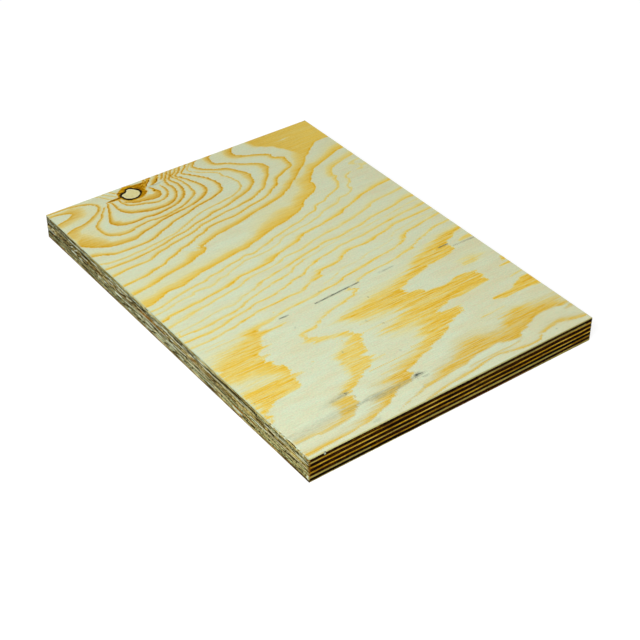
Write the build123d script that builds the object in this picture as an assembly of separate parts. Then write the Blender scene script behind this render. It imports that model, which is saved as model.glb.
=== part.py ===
from build123d import *
import os

os.makedirs("parts", exist_ok=True)

# Cut panel of softwood plywood, in millimetres.
# Origin at the middle of the underside, X along the face grain, Y along the long side, Z up.
panel_width = 220.0
panel_length = 306.0

# Veneers. The outer two are sanded thin. Between them, crossbands with the grain along Y
# alternate with core plies whose grain runs along X, as it does in the outer two.
outer_veneer = 0.63
inner_ply = 1.86
crossband_count = 5

# Hole that a loose knot left in the face veneer, measured from the two edges it lies near
knot_from_left = 61.0
knot_from_back = 11.0
knot_width = 13.2
knot_height = 12.6
filler_sink = 0.1

# Outline of the hole, as shares of its half width and half height, with a dent at the upper left
knot_outline = [
    (-1.00, 0.00),
    (-0.92, 0.35),
    (-0.62, 0.47),
    (-0.34, 0.57),
    (-0.08, 0.87),
    (0.19, 1.00),
    (0.53, 0.80),
    (0.84, 0.38),
    (1.00, -0.12),
    (0.86, -0.53),
    (0.44, -0.89),
    (-0.10, -1.00),
    (-0.56, -0.85),
    (-0.90, -0.50),
]

# Drying checks, open right through the face veneer and nearly in one line of its grain.
# Each is the distance of its start from the left edge and from the front edge, its length,
# how far it climbs across the grain, and its opening.
face_checks = [
    (61.0, 115.0, 7.0, 0.0, 0.3),
    (89.0, 114.7, 36.0, 2.1, 0.4),
    (143.8, 117.2, 10.2, 0.4, 0.25),
]

# Check near the right edge, given in the same way but with its start measured from that edge
right_check = (28.0, 116.0, 8.0, 0.3, 0.3)

# Chips torn out of the face veneer along its left edge, where the saw crossed the grain.
# Each is the distance of its middle from the front edge, its length and its depth.
left_edge_chips = [
    (5.6, 2.0, 0.5),
    (10.4, 2.4, 0.6),
    (17.0, 9.0, 0.8),
    (24.4, 1.8, 0.9),
    (28.0, 2.2, 0.7),
    (37.5, 2.6, 0.5),
]

# Nick in the face veneer on the front edge, given as the chips are but from the left edge
front_edge_nicks = [
    (11.3, 1.8, 0.6),
]

# Gaps in the left edges of inner plies, where a strip of veneer is missing or torn out.
# Each is the distance of its middle from the front edge, its length, its height and its depth.
edge_gaps = {
    "core_ply_2": [
        (38.4, 6.6, 1.0, 1.5),
        (45.5, 2.6, 1.0, 1.2),
        (50.1, 2.4, 1.0, 1.2),
    ],
}

# Gaps near the left back corner, given in the same way but from the back edge
corner_gaps = {
    "core_ply_2": [(4.0, 6.0, 1.3, 1.6)],
    "crossband_4": [(3.8, 5.4, 1.3, 1.6)],
}

left_edge = -panel_width / 2
right_edge = panel_width / 2
front_edge = -panel_length / 2
back_edge = panel_length / 2


def veneer_sheet(bottom, thickness):
    """One full veneer of the panel, from its underside upward."""
    sheet = Box(panel_width, panel_length, thickness, align=(Align.CENTER, Align.CENTER, Align.MIN))
    return Pos(0, 0, bottom) * sheet


def knot_face(bottom):
    """Area of the knot hole at a given height."""
    middle_x = left_edge + knot_from_left
    middle_y = back_edge - knot_from_back
    points = []
    for share_x, share_y in knot_outline:
        points.append((middle_x + share_x * knot_width / 2, middle_y + share_y * knot_height / 2))
    return Pos(0, 0, bottom) * make_face(Spline(points, periodic=True))


def check_slit(x, y, length, climb, opening, bottom, thickness):
    """Drying check, a thin lens pointed at both ends."""
    middle_x = x + length / 2
    middle_y = y + climb / 2
    upper = ThreePointArc((x, y), (middle_x, middle_y + opening / 2), (x + length, y + climb))
    lower = ThreePointArc((x + length, y + climb), (middle_x, middle_y - opening / 2), (x, y))
    return Pos(0, 0, bottom) * extrude(make_face([upper, lower]), thickness)


def edge_bite(x, y, reach_x, reach_y, bottom, thickness):
    """Rounded piece that breaks out of an edge, centred on the edge itself."""
    return Pos(x, y, bottom) * extrude(Ellipse(reach_x, reach_y), thickness)


def edge_gap(y, z, length, height, depth):
    """Rounded pocket that runs into the left edge."""
    mouth = Plane((left_edge, y, z), x_dir=(0, 1, 0), z_dir=(1, 0, 0)) * Ellipse(length / 2, height / 2)
    return extrude(mouth, depth)


def face_veneer(bottom):
    sheet = veneer_sheet(bottom, outer_veneer)
    sheet -= extrude(knot_face(bottom), outer_veneer)
    checks = [(left_edge + check[0], *check[1:]) for check in face_checks]
    checks.append((right_edge - right_check[0], *right_check[1:]))
    for x, line, length, climb, opening in checks:
        sheet -= check_slit(x, front_edge + line, length, climb, opening, bottom, outer_veneer)
    for middle, length, depth in left_edge_chips:
        sheet -= edge_bite(left_edge, front_edge + middle, depth, length / 2, bottom, outer_veneer)
    for middle, length, depth in front_edge_nicks:
        sheet -= edge_bite(left_edge + middle, front_edge, length / 2, depth, bottom, outer_veneer)
    return sheet


def inner_veneer(name, bottom):
    sheet = veneer_sheet(bottom, inner_ply)
    middle_z = bottom + inner_ply / 2
    for middle, length, gap_height, depth in edge_gaps.get(name, []):
        sheet -= edge_gap(front_edge + middle, middle_z, length, gap_height, depth)
    for middle, length, gap_height, depth in corner_gaps.get(name, []):
        sheet -= edge_gap(back_edge - middle, middle_z, length, gap_height, depth)
    return sheet


# Names of the inner plies from the bottom up, counted down from the face
inner_names = []
for number in range(crossband_count, 0, -1):
    inner_names.append(f"crossband_{number}")
    if number > 1:
        inner_names.append(f"core_ply_{number - 1}")

plies = {"back_veneer": veneer_sheet(0, outer_veneer)}
height = outer_veneer
for name in inner_names:
    plies[name] = inner_veneer(name, height)
    height += inner_ply
plies["face_veneer"] = face_veneer(height)

# Putty that fills the knot hole and has shrunk a little below the face
plies["knot_filler"] = extrude(knot_face(height), outer_veneer - filler_sink)

for name, ply in plies.items():
    export_step(ply, f"parts/{name}.step")

print("panel thickness", round(height + outer_veneer, 3))
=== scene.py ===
import bpy
import math
import numpy as np
from mathutils import Matrix, Vector
from mathutils.geometry import delaunay_2d_cdt


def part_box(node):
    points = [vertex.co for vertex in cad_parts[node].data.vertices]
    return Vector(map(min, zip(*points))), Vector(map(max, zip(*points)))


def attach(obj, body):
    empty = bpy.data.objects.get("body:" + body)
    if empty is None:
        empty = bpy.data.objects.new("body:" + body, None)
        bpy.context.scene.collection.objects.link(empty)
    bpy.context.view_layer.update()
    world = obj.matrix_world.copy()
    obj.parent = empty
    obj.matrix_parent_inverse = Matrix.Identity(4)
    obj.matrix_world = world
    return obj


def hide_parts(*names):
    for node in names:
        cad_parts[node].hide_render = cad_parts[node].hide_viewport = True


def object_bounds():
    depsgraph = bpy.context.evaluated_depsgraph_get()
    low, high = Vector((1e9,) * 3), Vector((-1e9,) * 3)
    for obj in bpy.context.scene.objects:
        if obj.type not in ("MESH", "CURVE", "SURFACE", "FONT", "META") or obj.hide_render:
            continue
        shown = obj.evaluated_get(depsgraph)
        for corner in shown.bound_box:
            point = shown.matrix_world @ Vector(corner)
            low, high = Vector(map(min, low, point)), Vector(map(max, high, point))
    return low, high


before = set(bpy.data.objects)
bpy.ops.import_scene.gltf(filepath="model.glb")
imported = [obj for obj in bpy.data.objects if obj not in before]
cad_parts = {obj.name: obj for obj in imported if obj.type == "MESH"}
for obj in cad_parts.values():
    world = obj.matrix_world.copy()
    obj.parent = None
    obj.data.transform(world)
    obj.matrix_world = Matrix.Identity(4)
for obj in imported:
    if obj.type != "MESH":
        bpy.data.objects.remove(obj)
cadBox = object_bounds()
mm = 0.001
halfWidth, halfLength, panelTop = (round(c / mm, 3) for c in cadBox[1])
print("panel loaded")


# small helpers

def linear(r, g, b):        # a colour as read on screen, 0 to 255
    steps = [v / 255 for v in (r, g, b)]
    return tuple(v / 12.92 if v < 0.04045 else ((v + 0.055) / 1.055) ** 2.4 for v in steps) + (1.0,)


def smoothstep(low, high, value):
    t = np.clip((value - low) / (high - low), 0, 1)
    return t * t * (3 - 2 * t)


def softNoise(x, y, seed):        # smooth random values from -1 to 1, one bump to each unit of x and y
    table = np.random.default_rng(seed).uniform(-1, 1, (97, 89))
    column, row = np.floor(x).astype(int), np.floor(y).astype(int)
    u, v = x - column, y - row
    u, v = u * u * (3 - 2 * u), v * v * (3 - 2 * v)

    def corner(i, j):
        return table[(column + i) % 97, (row + j) % 89]

    lower = corner(0, 0) * (1 - u) + corner(1, 0) * u
    upper = corner(0, 1) * (1 - u) + corner(1, 1) * u
    return lower * (1 - v) + upper * v


# one smooth curve through the given points, with every value along it blended too
def smoothLine(points, step=1.0):
    p = np.array(points, float)
    p = np.vstack([2 * p[0] - p[1], p, 2 * p[-1] - p[-2]])
    made = []
    for a, b, c, d in zip(p, p[1:], p[2:], p[3:]):
        count = max(1, int(np.hypot(*(c - b)[:2]) / step))
        for t in np.arange(count) / count:
            made.append(0.5 * (2 * b + (c - a) * t + (2 * a - 5 * b + 4 * c - d) * t ** 2
                               + (3 * b - a - 3 * c + d) * t ** 3))
    made.append(p[-2])
    return np.array(made)


# for each point: distance to the line, which side (left is positive), where along it and how far past an end
def nearestOn(line, x, y):
    a, b = line[:-1, :2], line[1:, :2]
    run = b - a
    length = np.hypot(run[:, 0], run[:, 1])
    px, py = x[:, None] - a[None, :, 0], y[:, None] - a[None, :, 1]
    along = (px * run[:, 0] + py * run[:, 1]) / length ** 2
    t = np.clip(along, 0, 1)
    distance = np.hypot(px - t * run[:, 0], py - t * run[:, 1])
    best = distance.argmin(1)
    rows = np.arange(len(x))
    side = (run[best, 0] * py[rows, best] - run[best, 1] * px[rows, best]) / length[best]
    past = np.maximum(-along[rows, best], along[rows, best] - 1) * length[best]
    atEnd = (best == 0) & (along[rows, best] < 0) | (best == len(a) - 1) & (along[rows, best] > 1)
    return distance[rows, best], side, best + t[rows, best], np.where(atEnd, past, 0)


def near(line, x, y, reach):
    low, high = line[:, :2].min(0) - reach, line[:, :2].max(0) + reach
    return np.flatnonzero((x > low[0]) & (x < high[0]) & (y > low[1]) & (y < high[1]))


def valueAlong(line, where, column):
    return np.interp(where, np.arange(len(line)), line[:, column])


def closedLine(loop):
    return np.vstack([loop, loop[:1]])


def raiseTo(values, at, least):
    values[at] = np.maximum(values[at], least)


def nearOutline(x, y, reach):        # whether a spot lies within reach of the panel's four edges
    return (np.abs(x) > halfWidth - reach) | (np.abs(y) > halfLength - reach)


# Grain of the face veneer, in mm from the middle of the panel.
# A ring is the dark outer edge of one year's latewood: strength, then x, y and how wide the latewood is.
# The latewood lies to the left of the line, on the knot's side.
growthRings = [
    (0.75, [(-61, 139.5, .8), (-60.5, 134, 1.2), (-58, 129.5, 1.5), (-53, 126.5, 1.6), (-47, 124.5, 1.5),
            (-42, 122, 1.5), (-38, 121.2, 1.5), (-33, 122.2, 1.5), (-28.5, 125.2, 1.4), (-26, 129.5, 1.3),
            (-25.2, 134.5, 1.2), (-26.2, 139, .7)]),
    (0.85, [(-58, 134, 2), (-54.5, 131.5, 3), (-50, 129.3, 3.5), (-45, 128.3, 4), (-41, 127, 5),
            (-37, 126.3, 5.5), (-33.5, 127.3, 5.5), (-31, 130.5, 4.5), (-30.8, 134.5, 3), (-33, 137.8, 1.5)]),
    (0.8, [(-67, 140, .8), (-66.3, 136, 1.2), (-66.8, 131, 1.6), (-66.3, 127, 2.2), (-65, 123.5, 3),
           (-62, 120.2, 3), (-57, 118, 3), (-50, 115.3, 2.8), (-43, 113.8, 2.6), (-37, 113.8, 2.4),
           (-30, 115.8, 2.2), (-25, 119.2, 2), (-21.8, 124.5, 1.8), (-19.8, 131, 1.7), (-20.7, 136.7, 1.5),
           (-20.7, 141.3, 1.2), (-20.2, 142.8, 1.2), (-18.1, 145.3, 1.2), (-15.6, 148.4, 1.2), (-12, 153.5, 1.2)]),
    (0.8, [(-21.6, 145.6, .8), (-20.7, 146.4, 1), (-18.7, 148.9, 1.2), (-16.9, 152.2, 1.2), (-16.2, 153.5, 1.2)]),
    (1, [(-31.4, 143.2, .8), (-29.4, 143.6, 1.4), (-26.8, 145.3, 2.4), (-24.3, 146.9, 2.6), (-22.2, 149.9, 2.2),
         (-20.4, 153.5, 1.8)]),
    (1, [(-37, 142.2, 1.2), (-36, 143.3, 1.6), (-32.9, 147.4, 1.6), (-29.9, 149.9, 1.4), (-27.3, 153.5, 1.2)]),
    (0.9, [(-38, 146.2, 1), (-36, 147.4, 1.2), (-34.5, 148.9, 1.2), (-31.4, 153.5, 1)]),
    (0.85, [(-69.5, 139.5, .8), (-72, 133.5, 1.2), (-75, 127.5, 1.5), (-78.5, 121, 2.5), (-79.5, 117, 4),
            (-77.3, 113, 4.5), (-72.5, 110, 3), (-65, 109, 2), (-56, 109.2, 1.8), (-48, 108.3, 1.8),
            (-39, 109.2, 1.8), (-30, 111.3, 1.8), (-23, 115, 1.8), (-18.3, 119.5, 1.8), (-16.3, 125, 1.6),
            (-14.8, 131.5, 1.5), (-15.8, 137.2, 1.3), (-16.8, 140, 1.2), (-17.1, 142.3, 1.2), (-14.6, 145.3, 1.2),
            (-12, 148.9, 1.2), (-8.2, 153.5, 1.2)]),
    (0.7, [(-73, 137.5, .6), (-78, 132, 1), (-82, 127, 1.4), (-87.5, 122.5, 1.8), (-90.3, 117.5, 2),
           (-90.3, 111, 2), (-88.5, 106, 2.5), (-84, 102.3, 3), (-78.5, 100.5, 3), (-72, 100.8, 2.4),
           (-66, 103, 1.8), (-58, 104, 1.5), (-50, 103.4, 1.5), (-41, 103.9, 1.4), (-31, 105.8, 1.3),
           (-22.5, 109.3, 1.4), (-15, 113.5, 1.6), (-11.3, 117.2, 1.8), (-11, 122.5, 1.4), (-10.4, 130, 1.2),
           (-11.5, 136.7, 1.1), (-12, 139.7, 1.1), (-13.6, 142.8, 1.1), (-13, 145.3, 1.1), (-10.5, 146.9, 1.1),
           (-7.9, 148.9, 1.1), (-4.6, 153.5, 1.1)]),
    (0.7, [(-112, 151.8, 1.2), (-100, 151.4, 1.3), (-92, 150.6, 1.4), (-84, 148.4, 1.5), (-78.5, 145.2, 1.6),
           (-76.4, 141.4, 1.7), (-78.3, 137.2, 1.7), (-84, 132.4, 1.9), (-93, 128.2, 2.3), (-101, 127, 4),
           (-106, 125.6, 8), (-112, 122.6, 11)]),
    (0.7, [(-112, 147.8, 1.6), (-106, 147.4, 1.8), (-101, 146.3, 2.2), (-97, 145, 4), (-95, 143.3, 7),
           (-97, 141.5, 6), (-99.5, 140, 5), (-104, 138.5, 4.5), (-112, 136.3, 4)]),
    (0.45, [(-72.5, 153.5, .7), (-69, 149.5, .8), (-66, 145, .7), (-64.5, 142.5, .5)]),
    (0.5, [(-67.5, 153.5, .7), (-64.5, 149.8, .8), (-61.5, 146.2, .8), (-60, 144, .6)]),
    (0.55, [(-62.5, 153.5, .8), (-60, 150.5, 1), (-57.8, 148, .9)]),
    (0.85, [(-111, 106, 11), (-105, 100.8, 9.5), (-100, 97, 8), (-95, 93.7, 6.5), (-90, 92.2, 4.5),
            (-83, 91.7, 3.5), (-75, 91.3, 3), (-70, 92.8, 2.5), (-66, 95, 2.2), (-60, 96.3, 2),
            (-55, 97.8, 1.8), (-50, 99.3, 1.8), (-43, 101, 1.6), (-36, 102, 1.5), (-30, 102.8, 1.5),
            (-22, 104.2, 1.6), (-16, 106, 1.8), (-10, 108.5, 2), (-5, 112, 2.2), (-2.3, 116, 2.2),
            (-1.7, 120, 2), (-3.2, 126, 1.6), (-5, 131, 1.5), (-7.4, 137.2, 1.3), (-9.5, 140.8, 1.2),
            (-11, 143.3, 1.1), (-8.4, 145.3, 1.2), (-5.9, 147.4, 1.2), (-3.3, 150.4, 1.3), (-1, 153.5, 1.3)]),
    (0.85, [(-111, 90.5, 2.5), (-106, 88.8, 2.8), (-101, 86.3, 2.5), (-96, 83.6, 2), (-90, 83, 1.8),
            (-80, 83, 1.6), (-71, 83.3, 1.5), (-65, 84.3, 1.8), (-60, 86.5, 2), (-55, 88.8, 1.6),
            (-48, 91.2, 1.6), (-43, 93.8, 1.7), (-38, 95.3, 1.5), (-30, 97.2, 1.4), (-22, 99.8, 1.4),
            (-15, 101.3, 1.4), (-8, 102.8, 1.4), (-2, 104.5, 1.7), (3, 106.3, 2), (6.5, 109.5, 2),
            (8, 114, 2.2), (8.4, 119, 1.9), (7.2, 124, 1.5), (5.3, 129, 1.4), (2.6, 133, 1.4), (-.8, 137.5, 1.2),
            (-3.4, 141, 1), (-5.4, 143.8, 1), (-2.3, 146.9, 1.1), (.7, 149.4, 1.2), (3.8, 153.5, 1.2)]),
    (0.5, [(-111, 79.5, 1.5), (-104, 77, 1.6), (-96, 76.3, 1.4), (-82, 76.6, 1.3), (-69, 77.8, 1.3),
           (-60, 79.3, 1.3), (-51, 80.8, 1.3), (-43, 84, 1.4), (-36, 86.6, 1.5), (-30, 89.3, 1.2),
           (-22, 92.3, 1.1), (-14, 93.8, 1), (-5, 95, 1), (1, 96, 1), (6, 96.8, 1.1), (12, 99, 1.2),
           (16.5, 101.7, 1.2), (19.5, 105, 1.2), (20.8, 110, 1.2), (20.3, 115, 1.2), (18.6, 120, 1.1),
           (16.6, 125, 1.1), (15.6, 129.3, .9), (10, 134, .8), (5, 138, .7), (0, 143.2, .7), (.2, 144.8, .8),
           (1.8, 147.4, 1), (4.8, 150.4, 1), (9, 153.5, 1)]),
    (0.75, [(-111, 71.6, 1.8), (-100, 71.4, 1.8), (-90, 71.2, 1.8), (-80, 71.9, 1.6), (-72, 73, 1.4),
            (-63, 74.8, 1.4), (-53, 77.2, 1.3), (-45, 78.6, 1.4), (-38, 80.7, 1.3), (-30, 83.6, 1.3),
            (-22, 85.2, 1.5), (-15, 87.6, 2), (-8, 88.3, 1.6), (0, 89.6, 2), (6, 92, 2), (13, 94, 2),
            (19, 96.4, 2.2), (24, 99.2, 2.2), (29, 103, 2.4), (31, 107.5, 3), (32.3, 112, 4.5),
            (33.2, 114.5, 5), (31.7, 119, 3.5), (29, 123, 2.6), (27, 127, 2.4), (24, 130.5, 2.2),
            (19, 132.8, 2), (14.5, 135.8, 1.8), (10.4, 139.5, 1.7), (7.2, 143.5, 1.8), (6.3, 146.9, 1.9),
            (8.4, 149.9, 1.9), (13, 153.5, 1.8)]),
    (0.75, [(-111, 61.8, 2.6), (-105, 62.6, 2.4), (-98, 63.8, 1.8), (-88, 64, 1.6), (-80, 64.2, 1.6),
            (-75.5, 65.5, 2.4), (-71, 68, 2), (-64, 69.4, 1.6), (-58, 71.5, 1.7), (-50, 72.7, 1.5),
            (-42, 74.6, 1.4), (-36, 76.2, 1.5), (-30, 78.9, 1.6), (-22, 79.8, 1.4), (-15, 81.7, 1.3),
            (-8, 82.8, 1.2), (0, 83.3, 1.3), (9, 84.8, 1.5), (17, 86.6, 1.8), (23, 89.3, 2),
            (29, 91.8, 2), (33, 94.6, 2.4), (36.5, 98.8, 2.4), (40, 102, 2.4), (43.6, 106, 2.6),
            (45.8, 110, 3.2), (49.3, 114, 5), (48.7, 119, 4.5), (45.8, 123, 3), (41.5, 126, 2.2),
            (36.5, 129.4, 1.9), (31, 134, 1.8), (27, 137.5, 1.8), (22, 140, 2), (20, 142.8, 2.4),
            (20.5, 146.5, 3.2), (21.5, 150.5, 3.2), (26, 153.5, 2.6)]),
    (0.8, [(-111, 48.8, 2), (-103, 49.3, 2), (-95, 50.1, 2), (-88.5, 51, 2.2), (-86, 52.4, 2.2),
           (-81, 53.3, 2), (-75, 54.9, 1.8), (-70, 57.3, 1.8), (-62, 60.3, 2), (-57, 62.9, 2),
           (-50, 64.4, 1.8), (-44, 67.2, 1.7), (-40, 69.2, 1.6), (-34, 70.3, 1.6), (-30, 72.8, 1.7),
           (-24, 74.2, 1.6), (-15, 74.8, 1.6), (-6, 75.3, 1.6), (0, 76.3, 1.7), (9, 79.2, 1.4),
           (18, 80.6, 1.3), (25, 82.4, 1.5), (30, 84.8, 1.8), (35, 87.8, 1.8), (41, 91.6, 2.2),
           (43.5, 95, 2.4), (46, 98, 2), (51, 100, 2), (57, 102.8, 2), (62, 104.8, 2.6), (65, 108, 2.8),
           (65.2, 113, 2.8), (66.2, 118.5, 3), (64, 120.8, 3), (60.5, 123.5, 2.4), (59.8, 125.5, 2.5),
           (60.2, 128, 2.6), (57, 130.8, 2.2), (52, 133.8, 2), (46, 136.8, 2.2), (41, 140, 2.8),
           (38.8, 143, 4.5), (39.3, 147.5, 5), (41, 150, 4.2), (44.5, 153.5, 3.6)]),
    (0.8, [(-111, 36.8, 4), (-100, 38.3, 3.5), (-90, 40.3, 4), (-83, 42.6, 3.5), (-75, 43.9, 3.5),
           (-68, 44.8, 4), (-60, 46.8, 5), (-52, 49.8, 7), (-46.5, 51.3, 7), (-43.2, 53.6, 6),
           (-43, 55.8, 4), (-45, 57, 3.5), (-42, 58, 3.5), (-38, 59.8, 3.5), (-33, 61.3, 3.5),
           (-28, 63.3, 4), (-22, 63.9, 4), (-15, 65.3, 3.8), (-8, 66.4, 3.6), (-2, 67.9, 3.4),
           (5, 70, 3), (12, 71.8, 2.6), (20, 73.4, 2.8), (28, 75, 3.2), (34, 76.6, 3.8), (38, 78.8, 3.6),
           (44, 81.8, 4), (48, 85, 4), (53, 88.3, 3.6), (57, 91, 3.4), (62, 95.5, 4.5), (67, 98.8, 5),
           (72, 102.3, 5.5), (77, 107, 7), (79.5, 110, 8), (83, 112.5, 9), (88, 116.5, 9), (94, 121, 9),
           (99, 123.2, 8), (111, 123.6, 8)]),
    (0.85, [(-111, 21.2, 8), (-103, 22, 8), (-98, 23.6, 7), (-94.5, 25, 6.5), (-90, 27, 6), (-85, 27.6, 6),
            (-79, 27, 7), (-75, 28.2, 7), (-68, 30.2, 6.5), (-60, 32.6, 5.5), (-52, 33.8, 5),
            (-44, 35.4, 5), (-36, 36.8, 5), (-28, 37.8, 5), (-20.5, 38.1, 5), (-16, 40.2, 5),
            (-10, 41.6, 5), (-5, 43.3, 6), (0, 45, 8), (5, 46.4, 9), (10, 47.8, 10), (20, 49.6, 12),
            (26, 51.8, 12), (33, 54, 10), (38, 57, 8.5), (41.5, 60.3, 8), (45, 63.5, 8), (50, 65.8, 8),
            (57, 68.8, 10), (60.2, 72, 12), (61.5, 74.5, 12), (62.6, 77, 12), (61.8, 80, 9), (65, 83.3, 7),
            (68, 87.3, 5), (71, 90, 4.4), (73, 92, 5), (76, 94.2, 5), (82, 96, 3.5), (90, 98.7, 3.6),
            (97, 101.4, 4.4), (103, 103.8, 5), (111, 104.8, 5.5)]),
    (0.6, [(-111, 15.2, 1.6), (-104, 15.4, 1.6), (-98, 16.8, 1.6), (-90, 18.8, 1.6), (-82, 20.6, 1.6),
           (-75, 21.8, 1.5), (-70, 22.8, 1.4), (-64, 22.8, 1.4), (-58, 25.2, 1.6), (-52, 25.8, 1.4),
           (-46, 27.3, 1.5), (-40, 28.9, 1.5), (-32, 30, 1.4), (-27, 31.4, 1.8), (-22, 30.4, 1.6),
           (-17, 31.4, 1.5), (-10, 33.4, 1.8), (-5, 34.9, 1.8), (0, 36.9, 1.6), (10, 39.7, 1.4),
           (18, 41.7, 1.4), (25, 42.8, 1.4), (32, 45.4, 1.5), (38, 47.2, 1.5), (43, 48.3, 1.5),
           (45, 50.8, 1.7), (48, 52.8, 1.8), (55, 54, 1.6), (57.5, 55.5, 1.4), (62, 58.3, 1.3),
           (70, 60.8, 1.5), (74, 62.8, 1.8), (76.5, 66, 2.4), (78.5, 69.5, 2.6), (79, 73, 3), (82, 75, 4),
           (80.5, 79, 4), (83, 83, 4), (86, 86, 4), (90, 88, 4), (97, 89.7, 3.6), (104, 91.6, 3.6),
           (111, 93.2, 4)]),
    (0.4, [(-111, 10.3, 1.4), (-100, 11.8, 1.4), (-92, 13.8, 1.4), (-85, 14.6, 1.6), (-78.5, 14.6, 1.8),
           (-76, 16.4, 2), (-70, 16.5, 2.5), (-66, 15.6, 2.6), (-61, 16.2, 3), (-58, 17.4, 3),
           (-55, 19.4, 2.4), (-49, 19.9, 1.8), (-45.5, 21.5, 1.6), (-40, 23.4, 1.6), (-35, 24.8, 1.4),
           (-30, 26.6, 1.4), (-20, 26.4, 1.2), (-12, 27, 1.2), (-5, 28.5, 1.3), (0, 30.4, 1.5),
           (4, 33, 1.8), (10, 35, 1.5), (20, 36.3, 1.2), (30, 37.8, 1.2), (36, 39.2, 1.2), (42, 41, 1.6),
           (46, 43.5, 2), (50, 44.6, 2.4), (56, 45.6, 2.6), (62, 46.8, 3), (64.5, 48.6, 3), (66, 50.2, 3),
           (73, 51, 2), (78, 53.3, 1.8), (81.5, 57, 1.6)]),
    (0.45, [(79.5, 56, 1.2), (80.5, 60, 1.5), (84, 63, 1.8), (87, 66.5, 1.8), (86.5, 70, 1.8),
            (89, 72, 1.8), (92.5, 74, 1.2)]),
    (0.8, [(-111, 2, 2), (-105, 2.5, 2.2), (-101, 4, 2.4), (-92, 4.8, 2.2), (-85, 5.6, 2.2), (-77, 6.4, 2),
           (-70, 7.7, 2), (-62, 8.3, 2), (-55, 9.6, 2.2), (-49, 10.8, 3), (-45.5, 12.6, 2.4),
           (-42, 13.7, 2), (-36, 14.2, 1.8), (-30, 14.7, 2), (-24, 14.9, 3), (-20, 15.3, 4),
           (-16, 16.6, 4.5), (-12.5, 18, 4), (-8, 19.8, 3), (-3, 21.5, 2.2), (2, 22.8, 2.2),
           (8, 23.8, 2.6), (11, 24.6, 3), (13.5, 26.3, 3), (17, 28.2, 2.6), (20, 29.7, 1.8),
           (28, 30.3, 1.6), (34, 31.2, 1.6), (40, 32.4, 1.6), (47, 33.2, 2.2), (55, 34.8, 3),
           (58, 36.5, 2.8), (61, 38, 2.2), (66, 39.3, 1.8), (71, 41.2, 2.2), (76, 43.2, 2.4),
           (81, 45, 2.4), (88, 46.4, 2.6), (95, 47.8, 3), (103, 48.4, 3.4), (111, 48.8, 3.6)]),
    (0.5, [(-111, -6, 2.4), (-103, -4.6, 2.8), (-96, -3.4, 3), (-89, -1.7, 2.8), (-81, -.2, 2),
           (-73, .8, 1.8), (-66, 2.2, 1.5), (-58, 3.8, 1.4), (-50, 5, 1.4), (-43, 7.8, 1.6),
           (-36, 9.2, 1.4), (-26, 9.8, 1.3), (-18, 10.9, 1.3), (-12, 12.4, 1.5), (-6, 14.5, 1.6),
           (1, 14.9, 1.5), (8, 15.7, 1.6), (13, 17.3, 1.8), (20, 18.8, 1.8), (28, 20.2, 2),
           (36, 21.3, 3), (43, 21.9, 2.6), (50, 23.7, 2.6), (58, 25.1, 2.4), (65, 26.9, 2.6),
           (72, 28.8, 2.8), (77, 30.8, 3.4), (83, 33, 3), (90, 33.8, 2.2), (100, 34.3, 2.2),
           (111, 36, 2.4)]),
    (0.65, [(-41, -1.2, .8), (-37, .3, 1.2), (-28, 2.2, 1.4), (-20, 3.4, 1.4), (-12, 5.3, 1.4),
            (-6, 6.8, 1.5), (1, 8.4, 1.6), (10, 9.9, 1.5), (17, 10.8, 1.6), (22, 12.2, 1.8), (27, 13, 2),
            (34, 12.4, 1.8), (41, 13.1, 1.6), (49, 14.9, 1.6), (57, 15.4, 1.7), (63, 16.8, 1.9),
            (68, 18.6, 2), (75, 19.3, 1.8), (82, 19.8, 1.6), (90, 20.6, 2.2), (97, 22, 3.4),
            (103, 23, 4), (111, 23, 4.4)]),
    (0.4, [(-111, -13.3, 1.2), (-100, -12.6, 1.2), (-90, -11.6, 1.4), (-80, -9.7, 1.8), (-72, -9.2, 2.5),
           (-65, -9.2, 2.5), (-60, -8, 2.2), (-56.5, -6.2, 2), (-52, -5.5, 2.4), (-47, -4.4, 2.2),
           (-42, -2.5, 1.8), (-37, -1.4, 1)]),
    (0.6, [(-111, -17.4, 1.2), (-101, -17.4, 1.6), (-97, -18.2, 1.8), (-88, -17.9, 2), (-78, -16.8, 1.8),
           (-68, -15.9, 1.5), (-64.5, -14.9, 1.5), (-60, -13.2, 1.4), (-55, -11.2, 1.4), (-48, -9.6, 1.4),
           (-40, -7.6, 1.4), (-33.5, -6.3, 1.5), (-30, -4.8, 1.8), (-22, -3.8, 1.6), (-17, -2.8, 1.5),
           (-11, -.4, 1.3), (-8, 1.6, 1.2), (-3, 3.4, 1.1), (1, 4.9, 1)]),
    (0.3, [(1, 5, 1), (8, 6, 1), (15, 7, 1.1), (22, 8.6, 1.1), (32, 9.6, 1.1), (42, 10.1, 1.1),
           (52, 11, 1.2), (60, 11.6, 1.3), (70, 13, 1.4), (80, 14, 1.3), (90, 15.4, 1.6),
           (100, 16.8, 2), (111, 17.8, 2)]),
    (0.65, [(-111, -24.2, 2), (-102, -24, 1.8), (-94, -24.4, 2), (-83, -23.5, 2), (-77, -21.8, 1.5),
            (-69, -20.2, 1.4), (-60.5, -19.2, 1.4), (-56, -17.2, 1.4), (-51, -16.2, 1.3),
            (-43, -16.2, 1.3), (-36, -15.3, 1.3), (-29, -13.8, 1.3), (-22, -12.3, 1.4),
            (-18.5, -10.2, 1.4), (-14, -9.2, 1.5), (-8, -8.5, 1.4), (-5, -6.3, 1.3), (-1, -4.6, 1.3),
            (4, -2.6, 1.5), (8, -1.2, 1.6), (14, .2, 1.6), (22, 1.4, 1.6), (30, 3.3, 1.7), (40, 4, 1.7),
            (50, 4.5, 1.9), (58, 5.2, 2), (64, 6.3, 2), (70, 7, 2), (76, 8.2, 2), (83, 9.3, 2),
            (91, 10, 2), (100, 10.4, 2.2), (111, 11.2, 2.4)]),
    (0.7, [(-111, -31.2, 1.6), (-95, -31, 1.4), (-86, -30.4, 1.4), (-78, -29, 1.4), (-70, -27.3, 1.4),
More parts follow.
